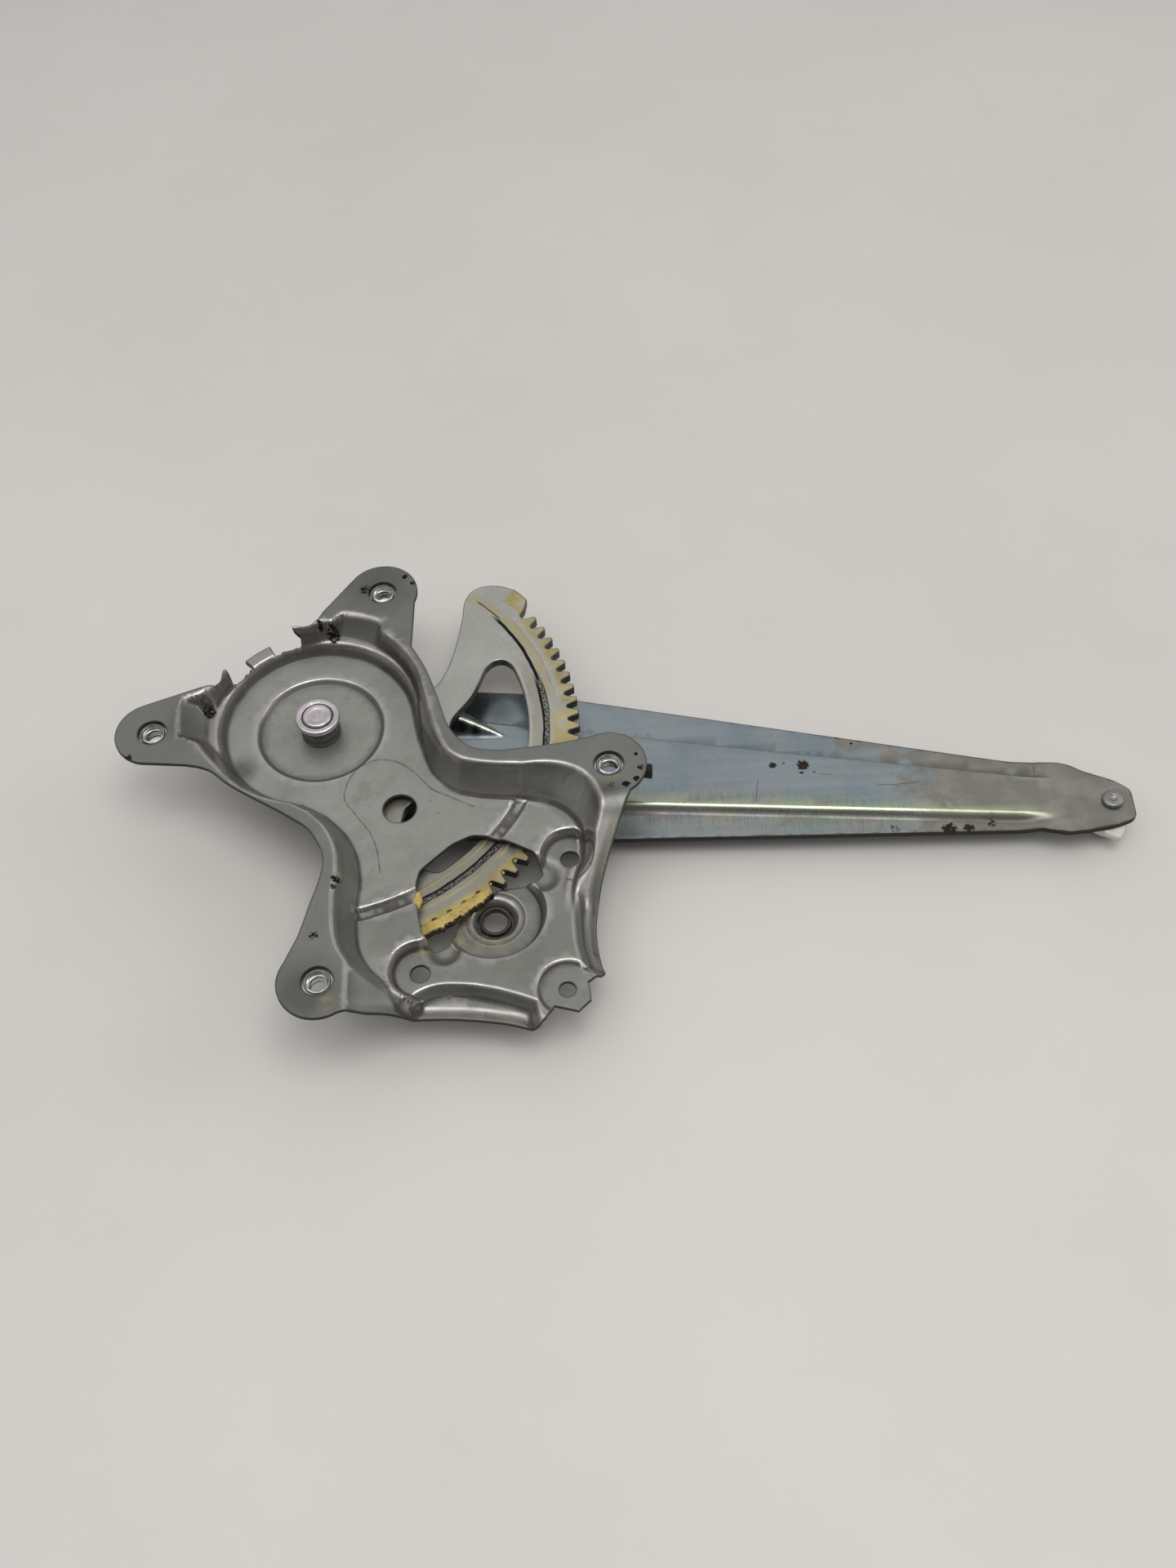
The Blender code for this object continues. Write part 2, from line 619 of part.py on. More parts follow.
def pivot_pieces(base, swing, steel, dark_steel):
    """Bush in the dish, the pin that turns in it, its top washer and the washer behind the arm."""
    bore = PIN_RADIUS + GAP
    disc_top = -DISC_DEPTH + GAP
    spigot_end = -DISC_DEPTH - SHEET
    bush = [
        (bore, spigot_end),
        (BUSH_SPIGOT_RADIUS, spigot_end),
        (BUSH_SPIGOT_RADIUS, disc_top),
        (BUSH_RADIUS, disc_top),
        (BUSH_RADIUS, BUSH_TOP),
        (bore, BUSH_TOP),
    ]
    turned("pivot_bush", bush, base, dark_steel)
    low = BUSH_TOP + GAP
    high = low + WASHER_HEIGHT
    seat = low + WASHER_HEIGHT / 2
    end_bore = PIN_END_RADIUS + GAP
    neck_bore = PIN_NECK_RADIUS + GAP
    washer = [(neck_bore, low), (WASHER_RADIUS, low), (WASHER_RADIUS, high)]
    washer += [(end_bore, high), (end_bore, seat), (neck_bore, seat)]
    turned("pivot_washer", washer, swing, steel)
    washer_top = BOSS_BACK - GAP
    washer_back = washer_top - BACK_WASHER_HEIGHT
    back_washer = [
        (bore, washer_back),
        (BACK_WASHER_RADIUS, washer_back),
        (BACK_WASHER_RADIUS, washer_top),
        (bore, washer_top),
    ]
    turned("back_washer", back_washer, swing, steel)
    head_top = washer_back - GAP
    end_low = seat + GAP
    pin = [
        (0.0, head_top - PIN_HEAD_HEIGHT),
        (PIN_HEAD_RADIUS - PIN_HEAD_CHAMFER, head_top - PIN_HEAD_HEIGHT),
        (PIN_HEAD_RADIUS, head_top - PIN_HEAD_HEIGHT + PIN_HEAD_CHAMFER),
        (PIN_HEAD_RADIUS, head_top),
        (PIN_RADIUS, head_top),
        (PIN_RADIUS, BUSH_TOP),
        (PIN_NECK_RADIUS, BUSH_TOP),
        (PIN_NECK_RADIUS, end_low),
        (PIN_END_RADIUS, end_low),
        (PIN_END_RADIUS, end_low + PIN_END_HEIGHT - PIN_END_ROUND),
        (PIN_END_RADIUS - PIN_END_ROUND, end_low + PIN_END_HEIGHT),
        (0.0, end_low + PIN_END_HEIGHT),
    ]
    turned("pivot_pin", pin, swing, steel)


def sector_outline():
    """Hub, toothed rim with a plain nose at each end, and the curved outer edges of the two end spokes."""
    root = TIP_RADIUS - TOOTH_HEIGHT
    middle = TIP_RADIUS - TOOTH_HEIGHT / 2
    last_tooth = FIRST_TOOTH - TOOTH_PITCH * (TOOTH_COUNT - 1)
    rim = []
    for tooth in reversed(range(TOOTH_COUNT)):
        centre = FIRST_TOOTH - TOOTH_PITCH * tooth
        half = [(root, TOOTH_ROOT_SHARE), (middle, TOOTH_PITCH_SHARE), (TIP_RADIUS, TOOTH_TIP_SHARE)]
        rim += [polar(radius, centre - TOOTH_PITCH * share) for radius, share in half]
        rim += [polar(radius, centre + TOOTH_PITCH * share) for radius, share in reversed(half)]
    upper = [(62.0, 49.0), (58.8, 52.8), (54.5, 55.0), (49.5, 55.7), (45.0, 54.0), (42.4, 49.5), (41.7, 43)]
    upper_spoke = [(41.7, 43), (39.6, 31.5), (36.6, 21.5), (32.6, 15.6), (27, 16.5)]
    nose_turn = FIRST_TOOTH + TOOTH_PITCH
    lower_nose = last_tooth - TOOTH_PITCH
    lower = [polar(NOSE_RADIUS, lower_nose - 2.4), polar(NOSE_RADIUS - 3, lower_nose - 7.5)]
    lower_spoke = [polar(66, lower_nose - 8.6), polar(52, lower_nose - 6)]
    lower_spoke += [polar(40, lower_nose - 8), polar(31, lower_nose - 20)]
    return [
        polar(root, lower_nose - 0.6),
        *rim,
        polar(root, nose_turn - 0.9),
        polar(NOSE_RADIUS - 2.6, nose_turn + 0.2),
        *upper[:-1],
        *smooth(upper_spoke)[:-1],
        *arc((0, 0), SECTOR_HUB_RADIUS, 36, 360 + lower_nose - 26, 10),
        *smooth(list(reversed(lower_spoke)))[1:],
        *reversed(lower),
        polar(NOSE_RADIUS - 2, lower_nose - 0.9),
    ]


def lightening_hole():
    """Opening behind the toothed rim: an outer arc, rounded ends and a bay that narrows towards the hub."""
    start, end = LIGHTENING_ANGLES
    inner, outer = LIGHTENING_INNER_RADIUS, LIGHTENING_OUTER_RADIUS
    upper_end = [polar(outer - 1.5, end - 1), polar(outer - 4.5, end), polar(outer - 8, end - 1.5)]
    bay = smooth([polar(outer - 8, end - 1.5), polar(46, 15), polar(inner + 1.5, 6), polar(inner, -2)])
    lower_end = [polar(inner + 4, start + 3), polar(inner + 12, start), polar(outer - 4, start)]
    return [
        *arc((0, 0), outer, start + 2.5, end - 4, 5),
        *upper_end[:-1],
        *bay,
        *arc((0, 0), inner, -9, start + 10, 8),
        *lower_end,
    ]


def sector_gear(parent, finish):
    holes = [circle((0, 0), PIN_RADIUS + GAP), lightening_hole()]
    holes += [circle(polar(RIVET_CIRCLE_RADIUS, turn), RIVET_RADIUS + GAP) for turn in RIVET_TURNS]
    prism("sector_gear", sector_outline(), holes, SECTOR_BOTTOM, SECTOR_TOP, parent, finish)


def tangent_turns(radius, far, far_radius):
    """Angles at which the two outer tangents of a circle at the origin and a far circle leave the first."""
    distance = math.hypot(*far)
    heading = math.degrees(math.atan2(far[1], far[0]))
    lean = math.degrees(math.acos((radius - far_radius) / distance))
    return heading + lean, heading - lean


def taper_outline(radius, far, far_radius, step=12.0):
    """Outline of a circle at the origin and a smaller far circle, joined by their outer tangents."""
    upper, lower = tangent_turns(radius, far, far_radius)
    return arc((0, 0), radius, upper, 360 + lower, step) + arc(far, far_radius, lower, upper, 20)


def from_stud(places):
    return [(STUD_PLACE[0] + x, STUD_PLACE[1] + y) for x, y in places]


def arm_outline():
    """Round root about the pivot, tapering edges and the bumped, clipped tip."""
    lower = [(14, -24.5), (32, -31), (58, -35)]
    tip = [(-21.9, -7.3), (-18.6, -8.5), (-14.8, -9.8), (-8.8, -9.5), (-1, -8.4), (4, -6.9), (5.8, -5.7)]
    tip += [(6.2, 3.6), (1.8, 7.2), (-6.6, 11.1), (-9.2, 13.1), (-12.6, 14.5), (-16.9, 14.9), (-19.9, 15.6)]
    upper = [(62, 18.9), (40, 21.5)]
    return arc((0, 0), ARM_ROOT_RADIUS, 84, 284, 9) + lower + from_stud(tip) + upper


def boss_outline(grow):
    return taper_outline(BOSS_RADIUS + grow, BOSS_NOSE, BOSS_NOSE_RADIUS + grow)


def rib_outline(grow):
    """Edge of the raised middle: round about the pivot and tapering to the tip."""
    tip = [(grow - 13.4, -3.5 - grow), (grow - 10.4, 0.7), (grow - 13.4, 8.1 + grow)]
    return arc((0, 0), RIB_ROOT_RADIUS + grow, 79, 264.5, 10) + from_stud(tip)


RIB_EDGE = rib_outline(0.0)
BOSS_EDGE = boss_outline(0.0)


def arm_level(points):
    to_tip = share_of(ARM_REACH - points[:, 0], TIP_RISE)
    flange = FLANGE_TOP + (RIB_TOP - FLANGE_TOP) * to_tip
    level = flange + (RIB_TOP - flange) * ramp(1 - loop_distance(points, RIB_EDGE) / RIB_SLOPE)
    return level + (BOSS_TOP - level) * ramp(1 - loop_distance(points, BOSS_EDGE) / BOSS_SLOPE)


def lift_arm(parent, finish):
    holes = [circle((0, 0), PIN_RADIUS + GAP), circle(STUD_PLACE, STUD_RADIUS + GAP)]
    holes += [circle(polar(RIVET_CIRCLE_RADIUS, turn), RIVET_RADIUS + GAP) for turn in RIVET_TURNS]
    lines = [(RIB_EDGE, True), (rib_outline(RIB_SLOPE), True)]
    lines += [(BOSS_EDGE, True), (boss_outline(BOSS_SLOPE), True)]
    for before in TIP_RISE:
        x = ARM_REACH - before
        lines.append(([(x, 2 * ARM_DROP), (x, -2 * ARM_DROP)], False))
    pressed_sheet("lift_arm", arm_outline(), holes, lines, arm_level, ARM_SHEET, parent, finish)


def arm_rivets(parent, finish):
    """Rivets with a head behind the boss and an end that is flush in the sector."""
    top, back = SECTOR_TOP - RIVET_SET_BACK, BOSS_BACK - GAP
    head, shank = RIVET_HEAD_RADIUS, RIVET_RADIUS
    profile = [
        (0.0, back - RIVET_BACK_HEIGHT),
        (RIVET_HEAD_FLAT, back - RIVET_BACK_HEIGHT),
        (head, back - RIVET_BACK_HEIGHT / 2),
        (head, back),
        (shank, back),
        (shank, top),
        (0.0, top),
    ]
    for number, turn in enumerate(RIVET_TURNS, 1):
        turned(f"arm_rivet_{number}", profile, parent, finish, polar(RIVET_CIRCLE_RADIUS, turn), SMALL_ROUND)


def roller_stud(parent, finish):
    head_low = RIB_TOP + GAP
    head_high = head_low + STUD_HEAD_HEIGHT
    under = SHOE_TOP
    seat = SHOE_BOTTOM + SHOE_POCKET_DEPTH - GAP
    washer_low = seat - SHOE_WASHER_HEIGHT
    end_low = washer_low - GAP - STUD_END_HEIGHT
    profile = [
        (0.0, end_low),
        (STUD_END_RADIUS, end_low),
        (STUD_END_RADIUS, washer_low - GAP),
        (STUD_RADIUS, washer_low - GAP),
        (STUD_RADIUS, seat + GAP),
        (STUD_SHOULDER_RADIUS, seat + GAP),
        (STUD_SHOULDER_RADIUS, under),
        (STUD_RADIUS, under),
        (STUD_RADIUS, head_low),
        (STUD_HEAD_RADIUS, head_low),
        (STUD_HEAD_RADIUS, head_high - STUD_HEAD_ROUND),
        (STUD_HEAD_RADIUS - STUD_HEAD_ROUND, head_high),
        (STUD_DIMPLE_RADIUS, head_high),
        (0.0, head_high - STUD_DIMPLE_DEPTH),
    ]
    turned("roller_stud", profile, parent, finish, STUD_PLACE, SMALL_ROUND)


def reshape(target, name, mesh, operation):
    """Adds a hidden solid that is cut out of the target or joined to it."""
    made = add_object(name, mesh, target, None)
    made.hide_render = True
    made.display_type = "WIRE"
    change = target.modifiers.new(name, "BOOLEAN")
    change.operation = operation
    change.solver = "EXACT"
    change.object = made


def shoe_outline():
    """Round about the stud at one end, square with small corners at the other."""
    side, end = SHOE_HALF_WIDTH, -SHOE_REACH
    corner = SHOE_CORNER
    return [
        *arc((0, 0), side, -90, 90, 15),
        *arc((end + corner, side - corner), corner, 90, 180, 30),
        *arc((end + corner, corner - side), corner, 180, 270, 30),
    ]


def guide_shoe(parent, finish, steel):
    """Sliding shoe: a plate, a neck and a round button, bored for the stud, with a pocket for its washer."""
    plate_low = SHOE_TOP - SHOE_FLANGE
    shoe = prism("guide_shoe", shoe_outline(), [], plate_low, SHOE_TOP, parent, finish)
    shoe.rotation_euler = (0.0, 0.0, math.radians(SHOE_TURN))
    button_top = SHOE_BOTTOM + SHOE_BUTTON_HEIGHT
    middle = plate_low + SHOE_FLANGE / 2
    button = [
        (0.0, SHOE_BOTTOM),
        (SHOE_BUTTON_RADIUS, SHOE_BOTTOM),
        (SHOE_BUTTON_RADIUS, button_top),
        (SHOE_NECK_RADIUS, button_top),
        (SHOE_NECK_RADIUS, middle),
        (0.0, middle),
    ]
    reshape(shoe, "shoe_button", turned_mesh("shoe_button", button), "UNION")
    bore = STUD_SHOULDER_RADIUS + GAP
    pocket_top = SHOE_BOTTOM + SHOE_POCKET_DEPTH
    hole = [
        (0.0, SHOE_BOTTOM - CUT_PAST),
        (SHOE_POCKET_RADIUS, SHOE_BOTTOM - CUT_PAST),
        (SHOE_POCKET_RADIUS, pocket_top),
        (bore, pocket_top),
        (bore, SHOE_TOP + CUT_PAST),
        (0.0, SHOE_TOP + CUT_PAST),
    ]
    reshape(shoe, "shoe_bore", turned_mesh("shoe_bore", hole, SMALL_ROUND), "DIFFERENCE")
    high = pocket_top - GAP
    low = high - SHOE_WASHER_HEIGHT
    inner = STUD_RADIUS + GAP
    ring = [(inner, low), (SHOE_WASHER_RADIUS, low), (SHOE_WASHER_RADIUS, high), (inner, high)]
    turned("shoe_washer", ring, parent, steel, sides=SMALL_ROUND)


def stop_bumper(parent, finish):
    start, end = BUMPER_ANGLES
    outer = EAR_RADIUS + BUMPER_OVERHANG
    outline = arc(EAR_RIGHT, outer, start, end, 8) + arc(EAR_RIGHT, BUMPER_INNER_RADIUS, end, start, 12)
    top = EAR_BACK - GAP
    prism("stop_bumper", outline, [], top - BUMPER_HEIGHT, top, parent, finish)


def pinion_bush(parent, finish):
    outer = PINION_HOLE_RADIUS - GAP
    inner = outer - PINION_BUSH_WALL
    low = BURR_END + GAP
    high = RECESS_FLOOR - BURR_DEPTH + GAP
    ring = [(inner, low), (outer, low), (outer, high), (inner, high)]
    turned("pinion_bush", ring, parent, finish, PINION)


def stand_on_floor(root):
    """Moves the root so that the part's box is centred on the origin and rests on z = 0."""
    bpy.context.view_layer.update()
    graph = bpy.context.evaluated_depsgraph_get()
    corners = []
    for solid in bpy.context.scene.objects:
        if solid.type == "MESH" and not solid.hide_render:
            placed = solid.evaluated_get(graph)
            corners += [placed.matrix_world @ vert.co for vert in placed.data.vertices]
    corners = np.array(corners)
    low, high = corners.min(axis=0), corners.max(axis=0)
    root.location = (-(low[0] + high[0]) / 2, -(low[1] + high[1]) / 2, -low[2])
    bpy.context.view_layer.update()


def main():
    for old in list(bpy.data.objects):
        bpy.data.objects.remove(old)
    zinc = material("dull_zinc", (0.42, 0.43, 0.41), 0.42, 0.9)
    blue_zinc = material("blue_zinc", (0.5, 0.55, 0.56), 0.3, 0.95)
    gear_steel = material("gear_steel", (0.55, 0.55, 0.52), 0.4, 0.9)
    bright_zinc = material("bright_zinc", (0.7, 0.71, 0.72), 0.22, 1.0)
    dark_steel = material("dark_steel", (0.12, 0.115, 0.11), 0.45, 0.8)
    nylon = material("nylon", (0.72, 0.71, 0.67), 0.5, 0.0)
    rubber = material("rubber", (0.015, 0.015, 0.015), 0.75, 0.0)
    black_plastic = material("black_plastic", (0.022, 0.021, 0.02), 0.45, 0.0)

    root = empty("window_regulator")
    swing = empty("arm_swing_axis", root)
    swivel = empty("shoe_swivel_axis", swing, STUD_PLACE)
    base_plate(root, zinc)
    weld_nuts(root, bright_zinc)
    pivot_pieces(root, swing, bright_zinc, dark_steel)
    pinion_bush(root, black_plastic)
    stop_bumper(root, rubber)
    sector_gear(swing, gear_steel)
    lift_arm(swing, blue_zinc)
    arm_rivets(swing, bright_zinc)
    roller_stud(swing, bright_zinc)
    guide_shoe(swivel, nylon, bright_zinc)
    stand_on_floor(root)


main()
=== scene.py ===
import json
import math

import bmesh
import bpy
import numpy as np
from mathutils import Matrix, Vector, kdtree
from mathutils.geometry import delaunay_2d_cdt


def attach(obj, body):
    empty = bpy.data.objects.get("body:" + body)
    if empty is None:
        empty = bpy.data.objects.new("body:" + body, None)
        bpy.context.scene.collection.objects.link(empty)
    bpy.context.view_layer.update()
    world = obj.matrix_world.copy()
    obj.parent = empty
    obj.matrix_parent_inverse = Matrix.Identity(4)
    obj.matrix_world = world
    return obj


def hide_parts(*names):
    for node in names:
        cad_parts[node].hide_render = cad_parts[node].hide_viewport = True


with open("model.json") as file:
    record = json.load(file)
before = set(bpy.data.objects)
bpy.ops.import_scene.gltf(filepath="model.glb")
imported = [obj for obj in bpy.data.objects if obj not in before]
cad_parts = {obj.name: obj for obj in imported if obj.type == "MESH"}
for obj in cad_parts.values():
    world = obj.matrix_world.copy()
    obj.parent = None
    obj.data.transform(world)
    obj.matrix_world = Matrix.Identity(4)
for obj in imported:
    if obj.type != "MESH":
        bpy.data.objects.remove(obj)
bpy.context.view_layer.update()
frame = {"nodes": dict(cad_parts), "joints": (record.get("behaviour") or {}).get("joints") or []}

scene = bpy.context.scene
mm = 0.001
gap = 0.3  # clearance between touching pieces, in mm like every size below
origin = (0.0, 0.0)
joints = {joint["name"]: joint for joint in frame["joints"]}
pivotPlace = Vector(joints["arm_swing"]["pos_m"])  # front face of the web, on the pivot axis
chance = np.random.default_rng(17)
print("frame loaded with", len(frame["nodes"]), "nodes")


class Values(dict):
    # a piece's dictionary, read as plate.sheet
    __getattr__ = dict.__getitem__


# plan shapes, in mm about the pivot, arm along +X
def polar(radius, degrees, centre=origin):
    turn = math.radians(degrees)
    return (centre[0] + radius * math.cos(turn), centre[1] + radius * math.sin(turn))


def arc(centre, radius, start, end, step=4.0):
    count = max(2, round(abs(end - start) / step) + 1)
    return [polar(radius, turn, centre) for turn in np.linspace(start, end, count)]


def circle(centre, radius, count=60):
    return [polar(radius, 360.0 * i / count, centre) for i in range(count)]


def curveThrough(points, steps=8):
    held = np.array([points[0], *points, points[-1]], float)
    line = []
    for before, start, end, after in zip(held, held[1:], held[2:], held[3:]):
        for t in np.arange(steps) / steps:
            bow = (2 * before - 5 * start + 4 * end - after) * t**2
            twist = (3 * start - before - 3 * end + after) * t**3
            line.append(tuple(0.5 * (2 * start + (end - before) * t + bow + twist)))
    return line + [tuple(held[-1])]


def roundCorners(line, radius, steps=4, closed=True, most=0.45):
    places = [Vector(point) for point in line]
    if closed:
        places = [places[-1], *places, places[0]]
    rounded = []
    for before, corner, after in zip(places, places[1:], places[2:]):
        back, ahead = before - corner, after - corner
        reach = min(radius, most * back.length, most * ahead.length)
        first, last = corner + back.normalized() * reach, corner + ahead.normalized() * reach
        for share in np.linspace(0, 1, steps + 1):
            bent = first * (1 - share) ** 2 + corner * (2 * share * (1 - share)) + last * share**2
            rounded.append(tuple(bent))
    return rounded if closed else [tuple(places[0]), *rounded, tuple(places[-1])]


def evenLoop(loop, longest):
    even = []
    for start, end in zip(loop, loop[1:] + loop[:1]):
        length = math.dist(start, end)
        if length < 1e-3:
            continue
        count = max(1, math.ceil(length / longest))
        even += [tuple(np.add(start, np.subtract(end, start) * (i / count))) for i in range(count)]
    return even


def insideLoop(points, loop, batch=8000):
    start = np.asarray(loop, float)
    end = np.roll(start, -1, axis=0)
    rise = np.where(end[:, 1] == start[:, 1], 1e-12, end[:, 1] - start[:, 1])
    lean = (end[:, 0] - start[:, 0]) / rise
    found = np.zeros(len(points), bool)
    for first in range(0, len(points), batch):
        x, y = points[first : first + batch, 0:1], points[first : first + batch, 1:2]
        crosses = (start[:, 1] > y) != (end[:, 1] > y)
        found[first : first + batch] = (crosses & (x < start[:, 0] + (y - start[:, 1]) * lean)).sum(1) % 2
    return found


def lineDistance(points, line, closed=False, batch=4000):
    start = np.asarray(line, float)
    along = np.roll(start, -1, axis=0) - start
    if not closed:
        start, along = start[:-1], along[:-1]
    size = np.maximum((along**2).sum(1), 1e-12)
    found = np.empty(len(points))
    for first in range(0, len(points), batch):
        offset = points[first : first + batch, None, :] - start
        share = np.clip((offset * along).sum(2) / size, 0, 1)
        found[first : first + batch] = np.sqrt(((offset - along * share[:, :, None]) ** 2).sum(2).min(1))
    return found


def loopDistance(points, loop):
    distance = lineDistance(points, loop, True)
    return np.where(insideLoop(points, loop), -distance, distance)


def distanceTo(points, centre):
    return np.hypot(points[:, 0] - centre[0], points[:, 1] - centre[1])


def turnOf(points):
    return np.degrees(np.arctan2(points[:, 1], points[:, 0]))


def shareOf(values, span):
    return np.clip((values - span[0]) / (span[1] - span[0]), 0, 1)


def between(values, rise, fall):
    return shareOf(values, rise) * shareOf(-values, (-fall[1], -fall[0]))


def softRamp(values, foot=0.25, top=None):
    # 0 to 1 like a pressed step, with a round bend at each end
    def bend(v, corner):
        return np.where(v <= -corner, 0.0, np.where(v >= corner, v, (v + corner) ** 2 / (4 * corner)))

    return bend(values, foot) - bend(values - 1, foot if top is None else top)


spotEdge = 1.4  # where a spot has faded out, in radii


def spotted(points, spots):
    # soft round patches, each given by its place, radius and strength
    found = np.zeros(len(points))
    for x, y, radius, strength in spots:
        found = np.maximum(found, strength * np.clip(spotEdge - distanceTo(points, (x, y)) / radius, 0, 1))
    return found


# mesh guides: places where a pressed sheet gets points
def ringGuides(centre, radii, spacing=0.7):
    count = max(24, round(6.28 * max(radii) / spacing))
    return [spot for radius in radii for spot in circle(centre, radius, count)]


def spotGuides(spots):
    shares = (0.15, 0.5, 0.8, 1.1, spotEdge)
    rings = [ringGuides((x, y), [radius * share for share in shares], 0.6) for x, y, radius, _ in spots]
    return sum(rings, [])


def lineGuides(line, away=0.3):
    places = np.array(evenLoop(line, 0.4)[:-1])
    side = np.subtract(line[-1], line[0])[::-1] * (-1, 1)
    side = side / max(np.linalg.norm(side), 1e-9)
    return [tuple(place + side * share) for share in (-away, 0, away) for place in places]


def outwardOf(places):
    # unit normals of a closed line, pointing out of it
    along = np.roll(places, -1, axis=0) - np.roll(places, 1, axis=0)
    outward = np.stack([along[:, 1], -along[:, 0]], axis=1)
    outward /= np.maximum(np.linalg.norm(outward, axis=1, keepdims=True), 1e-9)
    area = (places[:, 0] * np.roll(places[:, 1], -1) - places[:, 1] * np.roll(places[:, 0], -1)).sum()
    return -outward if area < 0 else outward


def offsetGuides(line, distances, reach, spacing=1.0, start=None, slack=0.12):
    # points along a closed line, set out by shares of the reach at each point
    places = np.array(evenLoop(line, spacing))
    outward = outwardOf(places)
    width = reach(places) if callable(reach) else np.full(len(places), reach)
    first = start(places) if start else np.zeros(len(places))
    found = []
    for share in distances:
        away = first + share * width
        spots = places + outward * away[:, None]
        true = np.abs(loopDistance(spots, line) - away) < slack
        found += [tuple(spot) for spot in spots[true]]
    return found


def thinOut(spots, cell):
    kept = {}
    for spot in spots:
        kept.setdefault((round(spot[0] / cell), round(spot[1] / cell)), spot)
    return np.reshape(list(kept.values()), (-1, 2))


def nearest(places):
    # a function giving the distance to the nearest of the places
    held = kdtree.KDTree(len(places))
    for i, place in enumerate(places):
        held.insert((*place, 0), i)
    held.balance()
    return lambda spot: held.find((*spot, 0))[2]


# mesh makers
sheetRule = Values(
    margin=3, guideCell=0.22, guideClear=0.7,
    # rows of points beside an edge, and room kept there, in widths of the rim
    insets=(1.0, 2.3), insetClear=0.85, fillClear=3.1, rimReach=1.1,
    mostSlant=2.2, underDrop=0.6, rimDirt=0.45, reach=0.4, wallSlope=(0.4, 0.9), underShare=0.6,
)


